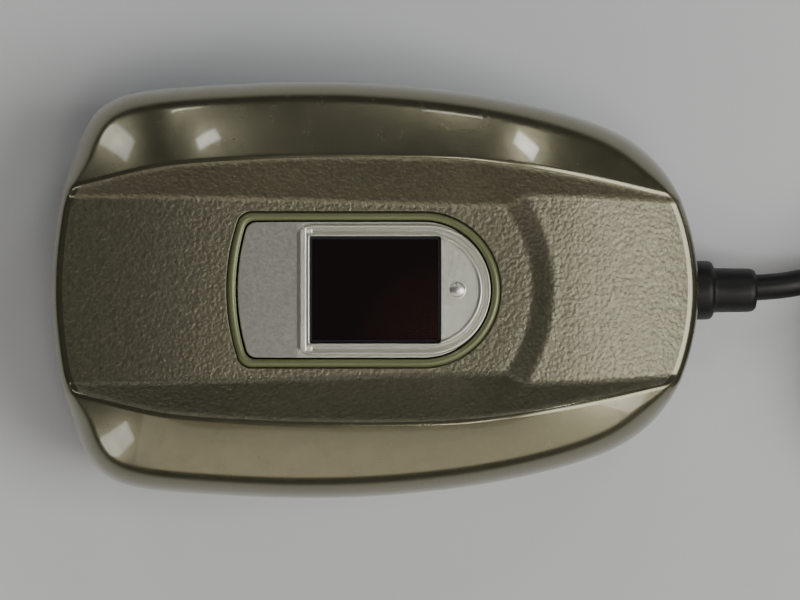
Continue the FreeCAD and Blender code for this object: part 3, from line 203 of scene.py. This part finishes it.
boot_mat = plain("boot_rubber", (0.011, 0.0112, 0.0112), 0.46, coat=0.0, grain=0.35, depth=0.012, vary=0.08, specular=0.4)
cord_mat = plain("cord_pvc", (0.010, 0.010, 0.0105), 0.44, grain=0.5, depth=0.006, vary=0.06, specular=0.35)
base_mat = plain("base_plastic", (0.018, 0.018, 0.019), 0.50, grain=0.28, depth=0.03, vary=0.08)
foot_mat = plain("foot_rubber", (0.010, 0.010, 0.011), 0.75, grain=0.3, depth=0.03)
screw_mat = plain("screw_steel", (0.42, 0.42, 0.43), 0.30, metallic=1.0, grain=0.2, depth=0.004)
label_mat = plain("label_film", (0.60, 0.60, 0.58), 0.38, metallic=0.25, grain=0.3, depth=0.006, tint=0.04)
steel_mat = plain("ballast_steel", (0.40, 0.40, 0.40), 0.40, metallic=1.0, grain=0.4, depth=0.01)
chassis_mat = plain("chassis_black", (0.012, 0.012, 0.013), 0.60, grain=0.3, depth=0.02)
board_mat = plain("board_green", (0.012, 0.085, 0.035), 0.35, grain=0.5, depth=0.01, tint=0.12)
led_mat = plain("led_resin", (0.55, 0.10, 0.08), 0.25, grain=0.4, depth=0.004)
white_mat = plain("diffuser_white", (0.78, 0.77, 0.72), 0.45, grain=0.3, depth=0.01, tint=0.03)
mirror_mat = plain("mirror_silver", (0.85, 0.86, 0.86), 0.06, metallic=1.0, grain=1.5, depth=0.0005, tint=0.02, vary=0.03)
lens_mat = plain("lens_glass", (0.05, 0.06, 0.07), 0.05, coat=0.4, grain=2.0, depth=0.0005, tint=0.05, vary=0.03)
chip_mat = plain("chip_black", (0.02, 0.02, 0.021), 0.52, grain=0.2, depth=0.01)
can_mat = plain("can_metal", (0.55, 0.55, 0.56), 0.26, metallic=1.0, grain=0.4, depth=0.004)
conn_mat = plain("connector_white", (0.70, 0.67, 0.58), 0.45, grain=0.3, depth=0.01, tint=0.04)
wire_mat = plain("wire_jacket", (0.34, 0.03, 0.025), 0.40, grain=0.4, depth=0.006)
plug_mat = plain("plug_metal", (0.60, 0.60, 0.61), 0.24, metallic=1.0, grain=0.5, depth=0.004)
tongue_mat = plain("plug_tongue", (0.75, 0.75, 0.73), 0.40, grain=0.3, depth=0.006, tint=0.03)
gold_mat = plain("contact_gold", (0.83, 0.62, 0.25), 0.24, metallic=1.0, grain=0.3, depth=0.003)
tie_mat = plain("tie_black", (0.016, 0.016, 0.017), 0.55, grain=0.25, depth=0.03)
gasket_mat = plain("gasket_black", (0.008, 0.010, 0.016), 0.40, grain=0.3, depth=0.01)
mould_mat = plain("overmould_rubber", (0.014, 0.0145, 0.015), 0.45, grain=0.3, depth=0.014)


# ------------------------------------------------------------------ mesh helpers
def grid_object(name, rows, materials, band=None, close=True, sharp=None, caps=()):
    """Skins rows of points (each row the same number of columns). band gives each strip of faces its material slot."""
    rows = np.asarray(rows, dtype=float)
    m, n = rows.shape[0], rows.shape[1]
    verts = (rows * MM).reshape(-1, 3)
    cols = n if close else n - 1
    i = np.arange(m - 1)[:, None]
    j = np.arange(cols)[None, :]
    a = i * n + j
    b = i * n + (j + 1) % n
    c = (i + 1) * n + (j + 1) % n
    d = (i + 1) * n + j
    faces = np.stack([a, b, c, d], axis=-1).reshape(-1, 4).tolist()
    count = len(faces)
    for k in caps:
        faces.append([k * n + q for q in range(n)])
    me = bpy.data.meshes.new(name)
    me.from_pydata(verts.tolist(), [], faces)
    for mat in materials:
        me.materials.append(mat)
    if band is not None:
        idx = np.zeros(len(faces), dtype=np.int32)
        idx[:count] = np.repeat(np.asarray(band, dtype=np.int32), cols)
        me.polygons.foreach_set("material_index", idx)
    me.polygons.foreach_set("use_smooth", np.ones(len(faces), dtype=bool))
    me.update()
    ob = bpy.data.objects.new(name, me)
    scene.collection.objects.link(ob)
    import bmesh
    bm = bmesh.new()
    bm.from_mesh(me)
    bmesh.ops.recalc_face_normals(bm, faces=bm.faces)
    if sharp:
        for e in bm.edges:
            if len(e.link_faces) == 2 and e.calc_face_angle(0.0) > sharp:
                e.smooth = False
    bm.to_mesh(me)
    bm.free()
    return ob


def smooth(lo, hi, x):
    q = np.clip((x - lo) / (hi - lo), 0.0, 1.0)
    return q * q * (3 - 2 * q)


class Line:
    """Natural cubic spline through stations."""

    def __init__(self, xs, ys):
        self.x, self.y = np.array(xs, float), np.array(ys, float)
        n = len(xs)
        A = np.eye(n)
        r = np.zeros(n)
        for i in range(1, n - 1):
            h0, h1 = self.x[i] - self.x[i - 1], self.x[i + 1] - self.x[i]
            A[i, i - 1], A[i, i], A[i, i + 1] = h0, 2 * (h0 + h1), h1
            r[i] = 6 * ((self.y[i + 1] - self.y[i]) / h1 - (self.y[i] - self.y[i - 1]) / h0)
        self.k = np.linalg.solve(A, r)

    def __call__(self, x):
        x = np.clip(x, self.x[0] - 4, self.x[-1] + 4)
        i = np.clip(np.searchsorted(self.x, x) - 1, 0, len(self.x) - 2)
        h = self.x[i + 1] - self.x[i]
        p, q = (self.x[i + 1] - x) / h, (x - self.x[i]) / h
        return p * self.y[i] + q * self.y[i + 1] + ((p ** 3 - p) * self.k[i] + (q ** 3 - q) * self.k[i + 1]) * h * h / 6


def low_of(a, b, k):
    """Smooth minimum."""
    h = np.clip(0.5 + 0.5 * (b - a) / k, 0, 1)
    return b * (1 - h) + a * h - k * h * (1 - h)


def high_of(a, b, k):
    return -low_of(-a, -b, k)


# ------------------------------------------------------------------ upper housing
OUTLINE = [(-50.131, 0.0), (-49.753, 6.617), (-48.603, 13.818), (-46.834, 21.449), (-44.253, 27.861),
           (-38.963, 30.689), (-31.521, 31.217), (-23.883, 31.599), (-16.824, 31.954), (-10.014, 32.066),
           (-3.047, 31.921), (4.002, 31.434), (10.976, 30.669), (17.883, 29.651), (24.721, 28.311),
           (31.611, 26.601), (38.363, 24.2), (43.91, 19.993), (47.457, 13.848), (49.487, 6.958), (50.219, 0.0)]
CREST = [(-50.0, 14.9, 23.4), (-46.5, 15.5, 25.35), (-32.0, 18.5, 32.0), (-22.0, 19.3, 33.7),
         (3.7, 19.8, 34.9), (23.0, 18.3, 33.9), (44.3, 14.3, 25.85), (50.0, 13.5, 22.6)]
DEEP = [(-56.0, 14.5, 20.2), (-50.0, 14.35, 22.88), (-46.5, 14.3, 24.22), (-40.0, 14.2, 26.23), (-32.0, 14.1, 27.87),
        (-25.0, 13.95, 28.53), (-18.0, 13.8, 28.6), (-8.0, 13.5, 28.6), (3.7, 13.1, 28.6), (14.0, 12.85, 28.6),
        (23.0, 12.7, 28.6), (32.0, 12.6, 28.6)]
SHALLOW = [(15.0, 14.5, 30.35), (19.0, 14.35, 30.25), (23.0, 14.2, 30.0), (30.0, 14.1, 29.2), (37.0, 13.8, 27.5),
           (44.3, 13.4, 25.0), (50.0, 13.2, 22.4), (56.0, 13.0, 19.3)]
crest_y = Line([p[0] for p in CREST], [p[1] for p in CREST])
crest_z = Line([p[0] for p in CREST], [p[2] for p in CREST])
deep_y = Line([p[0] for p in DEEP], [p[1] for p in DEEP])
deep_z = Line([p[0] for p in DEEP], [p[2] for p in DEEP])
shal_y = Line([p[0] for p in SHALLOW], [p[1] for p in SHALLOW])
shal_z = Line([p[0] for p in SHALLOW], [p[2] for p in SHALLOW])


def wing(x, y):
    xx = np.clip(x, -50.0, 50.0)
    a = crest_y(xx)
    return crest_z(xx) + 0.0075 * (a * a - y * y)


def behind(x, y):
    r = np.hypot(x - 1.5, y)
    return smooth(21.9, 26.1, r) * (x > 1.5), r


def floor_half(x, y):
    m, r = behind(x, y)
    return deep_y(np.minimum(x, 32.0)) * (1 - m) + shal_y(np.maximum(x, 15.0)) * m


def channel(x, y):
    m, r = behind(x, y)
    z = deep_z(np.minimum(x, 32.0)) * (1 - m) + shal_z(np.maximum(x, 15.0)) * m
    b = floor_half(x, y)
    front = (x > 8.0) * smooth(14.5, 12.0, np.abs(y))
    z = z - 0.09 * np.exp(-((r - 22.4) / 0.8) ** 2) * front + 0.10 * np.exp(-((r - 25.4) / 0.9) ** 2) * front
    wall = z + (np.abs(y) - b) / 1.06
    return high_of(z, wall, 0.55)


def outline(per=24):
    poles = OUTLINE + [(x, -y) for x, y in OUTLINE[-2:0:-1]]
    P = np.array(poles)
    n = len(P)
    pts, tan = [], []
    for k in range(n):
        p0, p1, p2, p3 = P[k - 1], P[k], P[(k + 1) % n], P[(k + 2) % n]
        for s in np.arange(per) / per:
            b0, b1, b2, b3 = (1 - s) ** 3 / 6, (3 * s ** 3 - 6 * s ** 2 + 4) / 6, (-3 * s ** 3 + 3 * s ** 2 + 3 * s + 1) / 6, s ** 3 / 6
            pts.append(b0 * p0 + b1 * p1 + b2 * p2 + b3 * p3)
            d0, d1, d2, d3 = -(1 - s) ** 2 / 2, (9 * s * s - 12 * s) / 6, (-9 * s * s + 6 * s + 3) / 6, s * s / 2
            tan.append(d0 * p0 + d1 * p1 + d2 * p2 + d3 * p3)
    pts, tan = np.array(pts), np.array(tan)
    tan /= np.linalg.norm(tan, axis=1)[:, None]
    return pts, np.stack([-tan[:, 1], tan[:, 0]], axis=1)


def dee_distance(x, y, radius, left, corner, rho=33.0, cx=7.2):
    """Signed distance to the D outline: half round at the cord side, bowed front with round corners."""
    ay = np.abs(y)
    rp, rb, xb = radius - corner, rho - corner, left + rho
    xk = xb - math.sqrt(rb * rb - rp * rp)
    line = np.where(x > cx, np.hypot(x - cx, ay) - rp, ay - rp)
    bow = np.where(x < xb, np.hypot(x - xb, ay) - rb, -1e9)
    nx, ny = (xk - xb) / rb, rp / rb
    cone = (x < xk) & ((x - xk) * (-ny) + (ay - rp) * nx < 0)
    return np.where(cone, np.hypot(x - xk, ay - rp), np.maximum(line, bow)) - corner


def cast(theta, centre, fn, far=60.0):
    """Distance along each ray from centre to the zero of fn."""
    lo, hi = np.zeros_like(theta), np.full_like(theta, far)
    for _ in range(46):
        mid = (lo + hi) / 2
        inside = fn(centre[0] + mid * np.cos(theta), centre[1] + mid * np.sin(theta)) < 0
        lo, hi = np.where(inside, mid, lo), np.where(inside, hi, mid)
    r = (lo + hi) / 2
    return centre[0] + r * np.cos(theta), centre[1] + r * np.sin(theta)


def upper_housing():
    P, N = outline(24)
    x0, y0 = P[:, 0], P[:, 1]
    side = smooth(12.5, 22.0, np.abs(y0))
    rh, rz, lean = 1.3 + 2.5 * side, 2.0 + 3.6 * side, 0.2
    rows, band = [], []

    def at(d):
        return x0 - d * N[:, 0], y0 - d * N[:, 1]

    def push(x, y, z, mat=0):
        rows.append(np.stack([x, y, z], axis=1))
        band.append(mat)

    # bottom edge: in from the lip, small rounding, then up the side
    for d, z in ((1.9, 9.02), (0.35, 9.02), (0.1, 9.06), (0.01, 9.16)):
        x, y = at(np.full_like(x0, d))
        push(x, y, np.full_like(x0, z))
    xs, ys = at(lean + 0 * rh)
    start = low_of(wing(xs, ys), channel(xs, ys), 0.9) - rz
    for t in np.linspace(0.0, 1.0, 10)[1:]:
        x, y = at(0.01 + (lean - 0.01) * smooth(0, 1, t) + 0 * rh)
        push(x, y, 9.16 + (start - 9.16) * t)
    for phi in np.linspace(0, math.pi / 2, 19)[1:]:
        d = lean + rh * (1 - math.cos(phi))
        x, y = at(d)
        push(x, y, low_of(wing(x, y), channel(x, y), 0.9) - rz * (1 - math.sin(phi)))
    ex, ey = at(lean + rh)
    C = (-4.0, 0.0)
    th = np.arctan2(ey - C[1], ex - C[0])
    outer = cast(th, C, lambda x, y: dee_distance(x, y, 11.98, -22.68, 2.48))
    edge = cast(th, C, lambda x, y: dee_distance(x, y, 11.85, -22.55, 2.35))
    inner = cast(th, C, lambda x, y: dee_distance(x, y, 10.6, -21.3, 1.6))
    dx, dy = outer[0] - ex, outer[1] - ey
    length = np.hypot(dx, dy)
    # where each ray meets the wing's inner edge, and the edge of the floor
    ss = np.linspace(0, 1, 500)[:, None]
    X, Y = ex + ss * dx, ey + ss * dy
    above = np.abs(Y) > crest_y(np.clip(X, -50, 50))
    wide = np.abs(Y) > floor_half(X, Y)
    sc = np.where(above[0], above.sum(axis=0) / 500.0, 0.0)
    sf = np.where(wide[0], wide.sum(axis=0) / 500.0, 0.0)
    rim = 0.55 / length
    sc = np.maximum(sc, rim)
    sf = np.minimum(np.maximum(sf, sc + 0.25 / length), 0.985)

    def blur(a, k):
        w = np.hanning(2 * k + 3)[1:-1]
        w /= w.sum()
        big = np.concatenate([a[-k - 1:], a, a[:k + 1]])
        return np.convolve(big, w, mode="same")[k + 1:-k - 1]

    sc, sf = blur(sc, 2), blur(sf, 4)
    wing_rows, wall_rows, floor_rows = ((40, 30, 110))
    steps = [(sc * (1 - (1 - t) ** 1.4), 0) for t in np.linspace(0, 1, wing_rows + 1)[1:]]
    steps += [(sc + (sf - sc) * (0.5 - 0.5 * math.cos(math.pi * t)), 1) for t in np.linspace(0, 1, wall_rows + 1)[1:]]
    steps += [(sf + (1 - sf) * t, 1) for t in np.linspace(0, 1, floor_rows + 1)[1:]]
    band[-1] = 0
    for s, mat in steps:
        x, y = ex + s * dx, ey + s * dy
        top, ch = wing(x, y), channel(x, y)
        push(x, y, low_of(top, ch, 0.9), mat)
    for k in range(len(band) - 1):
        pass
    # lip of the recess and its wall
    ox, oy = outer
    zf = low_of(wing(ox, oy), channel(ox, oy), 0.9)
    for q in (0.3, 0.6, 0.85, 1.0):
        a = q * math.pi / 2
        f = math.sin(a)
        push(ox + (edge[0] - ox) * f, oy + (edge[1] - oy) * f, zf - 0.14 * (1 - math.cos(a)), 0)
    push(edge[0], edge[1], zf * 0 + 27.5, 0)
    push(inner[0], inner[1], zf * 0 + 27.4, 0)
    # each strip of faces takes the material of the row it leads to
    ob = grid_object("shell_upper", rows, [gloss.m, leather.m], band=band[1:], sharp=math.radians(50))
    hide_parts("upper_housing")
    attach(ob, "root")
    return ob


upper_housing()


# ------------------------------------------------------------------ trim ring
def trim_ring():
    n = 900
    th = np.linspace(0, 2 * math.pi, n, endpoint=False)
    C = (-4.0, 0.0)
    a = cast(th, C, lambda x, y: dee_distance(x, y, 11.7, -22.4, 2.2))
    b = cast(th, C, lambda x, y: dee_distance(x, y, 10.52, -21.17, 1.75))
    rows = []
    profile = [(0.0, 27.65), (0.0, 28.3), (0.0, 28.62)]
    for t in np.linspace(0.0, 1.0, 23):
        u = 2 * t - 1
        w = 0.5 + 0.5 * math.copysign(abs(math.sin(u * math.pi / 2)) ** 0.92, u)
        profile.append((w, 28.66 + 0.47 * max(0.0, 1 - abs(2 * w - 1) ** 2.3) ** 0.62))
    profile += [(1.0, 28.6), (1.0, 27.65)]
    for w, z in profile:
        rows.append(np.stack([a[0] + (b[0] - a[0]) * w, a[1] + (b[1] - a[1]) * w, np.full(n, z)], axis=1))
    rows.append(rows[0].copy())
    ob = grid_object("ring_trim", rows, [ring_mat.m])
    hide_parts("trim_ring")
    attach(ob, "root")


trim_ring()


# ------------------------------------------------------------------ plaque round the window
def bezel():
    n = 1200
    m = 120
    C = (-1.0, 0.0)
    th = np.linspace(0, 2 * math.pi, n, endpoint=False)

    def box_d(x, y):
        qx, qy = np.abs(x) - 9.6, np.abs(y) - 7.75
        return np.hypot(np.maximum(qx, 0), np.maximum(qy, 0)) + np.minimum(np.maximum(qx, qy), 0) - 0.35

    def rim_d(x, y, r, left=-11.8, corner=1.5):
        ay, rp = np.abs(y), r - corner
        xl = left + corner
        qx, qy = np.maximum(xl - x, 0), np.maximum(ay - rp, 0)
        flat = np.where((x < xl) | (ay > rp), np.hypot(qx, qy), np.maximum(xl - x, ay - rp)) - corner
        return np.where(x > 7.75, np.hypot(x - 7.75, ay) - r, flat)

    win = cast(th, C, box_d)
    out = cast(th, C, lambda x, y: dee_distance(x, y, 10.3, -20.9, 1.6))

    def bead(e, lo, hi, height):
        t = np.clip((e - lo) / (hi - lo), 0, 1)
        return height * np.sqrt(np.clip(1 - np.abs(2 * t - 1) ** 2.2, 0, 1))

    def height(x, y):
        e = -rim_d(x, y, 9.97)
        base = 28.86 - 0.068 * np.maximum(0, -11.8 - x) - 0.045 * np.maximum(0, x - 9.9)
        ridge = bead(e, 0.0, 0.74, 0.64) - 0.50 * smooth(0.66, 0.84, e) * smooth(1.46, 1.28, e) + bead(e, 1.36, 2.02, 0.60)
        bar = smooth(-9.5, -10.6, x)                       # the front bar is one flat step instead of two beads
        step = 0.58 * smooth(0.0, 0.5, e) - 0.06 * np.maximum(0, x + 11.4)
        z = base + ridge * (1 - bar) + step * bar * (e > 0)
        r = np.hypot(x - 12.5, y)
        z = z + np.maximum(0, np.sqrt(np.maximum(0, 1.7 ** 2 - r * r)) - 1.2) * 0.9
        return z

    rows = []
    for q in (27.75, 28.3):
        rows.append(np.stack([win[0], win[1], np.full(n, q)], axis=1))
    zin = height(win[0], win[1])
    for k, q in enumerate((0.0, 0.4, 0.75, 1.0)):
        a = q * math.pi / 2
        g = 0.12
        dx, dy = out[0] - win[0], out[1] - win[1]
        s = g * (1 - math.cos(a)) / np.hypot(dx, dy)
        x, y = win[0] + s * dx, win[1] + s * dy
        rows.append(np.stack([x, y, zin - g + g * math.sin(a)], axis=1))
    for t in np.linspace(0, 1, m)[1:]:
        s = 0.12 / np.hypot(dx, dy) * (1 - t) + t * 0.985
        x, y = win[0] + s * dx, win[1] + s * dy
        rows.append(np.stack([x, y, height(x, y)], axis=1))
    zo = height(out[0], out[1])
    for q, h in ((0.992, 0.03), (0.998, 0.10), (1.0, 0.2)):
        x, y = win[0] + q * dx, win[1] + q * dy
        rows.append(np.stack([x, y, zo - h], axis=1))
    rows.append(np.stack([out[0], out[1], np.full(n, 27.45)], axis=1))
    rows.append(np.stack([win[0], win[1], np.full(n, 27.45)], axis=1))
    rows.append(rows[0].copy())
    ob = grid_object("plaque_bezel", rows, [plaque_mat.m], sharp=math.radians(55))
    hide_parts("sensor_bezel")
    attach(ob, "root")


bezel()


# ------------------------------------------------------------------ turned rubber boot
def boot():
    n = 96
    prof = [(44.6, 2.1), (44.6, 4.3), (44.75, 4.55), (45.0, 4.65), (46.5, 4.65), (46.7, 4.55), (46.8, 4.3), (46.8, 3.2), (49.25, 3.2), (49.25, 4.3),
            (49.3, 4.5), (49.45, 4.62), (49.7, 4.65), (51.9, 4.65), (52.35, 4.62), (52.7, 4.5), (52.95, 4.25), (53.08, 3.95), (53.12, 3.72), (53.22, 3.6),
            (53.45, 3.52), (53.9, 3.5), (56.4, 3.47), (58.6, 3.44), (59.1, 3.38), (59.45, 3.24), (59.7, 3.02), (59.84, 2.75), (59.89, 2.5), (59.84, 2.3), (59.6, 2.15), (58.0, 2.1)]
    rows = []
    a = np.linspace(0, 2 * math.pi, n, endpoint=False)
    for x, r in prof:
        rows.append(np.stack([np.full(n, x), r * np.cos(a), 9.0 + r * np.sin(a)], axis=1))
    rows.append(rows[0].copy())
    ob = grid_object("boot_relief", rows, [boot_mat], sharp=math.radians(60))
    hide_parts("cable_boot")
    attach(ob, "root")


boot()


# ------------------------------------------------------------------ cord, wound and tied
def cord_points():
    pts = [(37.2, 0.0, 9.0), (60.0, 0.0, 9.0), (70.5, 1.8, 6.3), (78.6, 4.2, 2.75)]
    cx, cy = 104.0, -12.0
    slots = [(27.6, 2.06), (23.5, 2.06), (19.4, 2.06), (17.35, 5.6), (21.45, 5.6), (25.55, 5.6), (29.65, 5.6), (27.6, 9.14), (23.5, 9.14), (19.4, 9.14)]
    per, start = 14, 141.7
    grow = 1.0 / 0.9755
    for k in range(len(slots) - 1):
        (r0, z0), (r1, z1) = slots[k], slots[k + 1]
        for j in range(per):
            q = min(max((j - (per - 5)) / 5.0, 0.0), 1.0)
            q = q * q * (3 - 2 * q)
            if k == 0 and j == 0:
                continue
            a = math.radians(start - 360.0 * (k + j / per))
            r, z = (r0 + (r1 - r0) * q) * grow, z0 + (z1 - z0) * q
            pts.append((cx + r * math.cos(a), cy + r * math.sin(a), z))
    for deg, r, z in ((141.7, 19.6, 9.14), (117, 19.6, 9.14), (95, 19.7, 9.2), (76, 19.9, 9.9), (60, 20.6, 12.2), (47, 21.4, 14.5), (38, 22.0, 15.2)):
        a = math.radians(deg)
        pts.append((cx + r * math.cos(a), cy + r * math.sin(a), z))
    pts += [(122.7, -0.2, 15.2), (122.8, -2.6, 15.2), (122.8, -4.9, 15.2)]
    return pts


def make_cord():
    pts = cord_points()
    cu = bpy.data.curves.new("cord_lead", "CURVE")
    cu.dimensions = "3D"
    sp = cu.splines.new("NURBS")
    sp.points.add(len(pts) - 1)
    for p, q in zip(sp.points, pts):
        p.co = (q[0] * MM, q[1] * MM, q[2] * MM, 1.0)
    sp.order_u = 3
    sp.use_endpoint_u = True
    sp.resolution_u = 8
    cu.bevel_depth = 2.05 * MM
    cu.bevel_resolution = 7
    cu.use_fill_caps = True
    cu.materials.append(cord_mat)
    ob = bpy.data.objects.new("cord_lead", cu)
    scene.collection.objects.link(ob)
    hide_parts("cord", "cord_coil")
    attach(ob, "root")


make_cord()

# ------------------------------------------------------------------ finishes of the pieces that keep their CAD shape
FINISH = {
    "optical_prism": glass.m, "window_gasket": gasket_mat, "lower_housing": base_mat, "rubber_feet": foot_mat, "housing_screws": screw_mat,
    "rating_label": label_mat, "ballast_plate": steel_mat, "optics_chassis": chassis_mat, "led_board": board_mat, "illumination_leds": led_mat,
    "light_diffuser": white_mat, "fold_mirror": mirror_mat, "lens_barrel": chassis_mat, "lens_elements": lens_mat, "camera_board": board_mat,
    "image_sensor": chip_mat, "camera_header": conn_mat, "main_board": board_mat, "controller_chips": chip_mat, "crystal": can_mat,
    "capacitors": can_mat, "usb_header": conn_mat, "sensor_header": conn_mat, "harness_plug": conn_mat, "camera_plugs": conn_mat,
    "harness_wires": wire_mat, "camera_cable": cord_mat, "cable_clamp": chassis_mat, "clamp_screws": screw_mat, "board_screws": screw_mat,
    "module_screws": screw_mat, "usb_overmould": mould_mat, "usb_shell": plug_mat, "usb_tongue": tongue_mat, "usb_contacts": gold_mat,
    "cord_tie": tie_mat,
}
for name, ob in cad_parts.items():
    mat = FINISH.get(name)
    if mat is None:
        continue
    if len(ob.data.materials) == 0:
        ob.data.materials.append(mat)
    for slot in ob.material_slots:
        slot.material = mat

# ------------------------------------------------------------------ floor with a painted pool of light, lamps
me = bpy.data.meshes.new("floor")
s = 2.2
me.from_pydata([(-s, -s, 0), (s, -s, 0), (s, s, 0), (-s, s, 0)], [], [(0, 1, 2, 3)])
floor = bpy.data.objects.new("floor", me)
scene.collection.objects.link(floor)
fm = bpy.data.materials.new("floor_painted_light_pool")
fm.use_nodes = True
ft = fm.node_tree
fc = ft.nodes.new("ShaderNodeTexCoord")
fl = ft.nodes.new("ShaderNodeVectorMath")
fl.operation = "LENGTH"
# painted pool of light: the floor colour is pale near the object and fades to dark grey between 0.13 and 0.5 m out
fr = ft.nodes.new("ShaderNodeMapRange")
fr.interpolation_type = "SMOOTHSTEP"
fr.inputs["From Min"].default_value = 0.13
fr.inputs["From Max"].default_value = 0.50
fx = ft.nodes.new("ShaderNodeMix")
fx.data_type = "RGBA"
fx.inputs["A"].default_value = (0.80, 0.82, 0.85, 1)
fx.inputs["B"].default_value = (0.16, 0.165, 0.17, 1)
ft.links.new(fc.outputs["Object"], fl.inputs[0])
ft.links.new(fl.outputs["Value"], fr.inputs["Value"])
ft.links.new(fr.outputs["Result"], fx.inputs["Factor"])
ft.links.new(fx.outputs["Result"], ft.nodes["Principled BSDF"].inputs["Base Color"])
fm.node_tree.nodes["Principled BSDF"].inputs["Roughness"].default_value = 0.9
me.materials.append(fm)


def area(name, loc, size, power, target=(0.0, 0.0, 0.02), colour=(1, 1, 1), size_y=None):
    d = bpy.data.lights.new(name, "AREA")
    d.energy = power
    d.color = colour
    d.shape = "RECTANGLE"
    d.size = size
    d.size_y = size_y or size
    o = bpy.data.objects.new(name, d)
    scene.collection.objects.link(o)
    o.location = loc
    o.rotation_euler = (Vector(target) - Vector(loc)).to_track_quat("-Z", "Y").to_euler()
    return o


area("key_right", (0.98, -0.20, 0.98), 0.8, 11.0, size_y=1.0, colour=(1.0, 0.985, 0.95))
area("upper_soft", (0.20, -0.38, 1.30), 0.34, 1.5, size_y=0.26, colour=(1.0, 0.97, 0.90))
area("low_side", (0.05, -1.10, 1.00), 3.4, 6.0, size_y=0.55, colour=(1.0, 0.92, 0.78))
area("window_a", (-0.50, 0.98, 1.10), 0.15, 0.40, size_y=0.08)
area("window_a2", (-0.62, 1.10, 0.80), 0.34, 0.60, size_y=0.05)
area("window_b", (0.16, 1.12, 0.96), 0.26, 0.50, size_y=0.05)
area("window_c", (0.62, 0.88, 1.02), 0.20, 0.90, size_y=0.10)
area("corner_a", (-0.98, 0.62, 0.40), 0.10, 0.36, size_y=0.24)
area("corner_b", (-0.98, -0.62, 0.40), 0.10, 0.36, size_y=0.24)

world = bpy.data.worlds.new("studio")
scene.world = world
world.use_nodes = True
wt = world.node_tree
bg = wt.nodes["Background"]
tc = wt.nodes.new("ShaderNodeTexCoord")
sep = wt.nodes.new("ShaderNodeSeparateXYZ")
ramp = wt.nodes.new("ShaderNodeValToRGB")
ramp.color_ramp.elements[0].position = 0.0
ramp.color_ramp.elements[0].color = (0.03, 0.03, 0.03, 1)
ramp.color_ramp.elements[1].position = 1.0
ramp.color_ramp.elements[1].color = (0.075, 0.075, 0.075, 1)
mid = ramp.color_ramp.elements.new(0.35)
mid.color = (0.04, 0.04, 0.04, 1)
wt.links.new(tc.outputs["Generated"], sep.inputs[0])
wt.links.new(sep.outputs["Z"], ramp.inputs["Fac"])
wt.links.new(ramp.outputs["Color"], bg.inputs["Color"])
bg.inputs["Strength"].default_value = 1.0
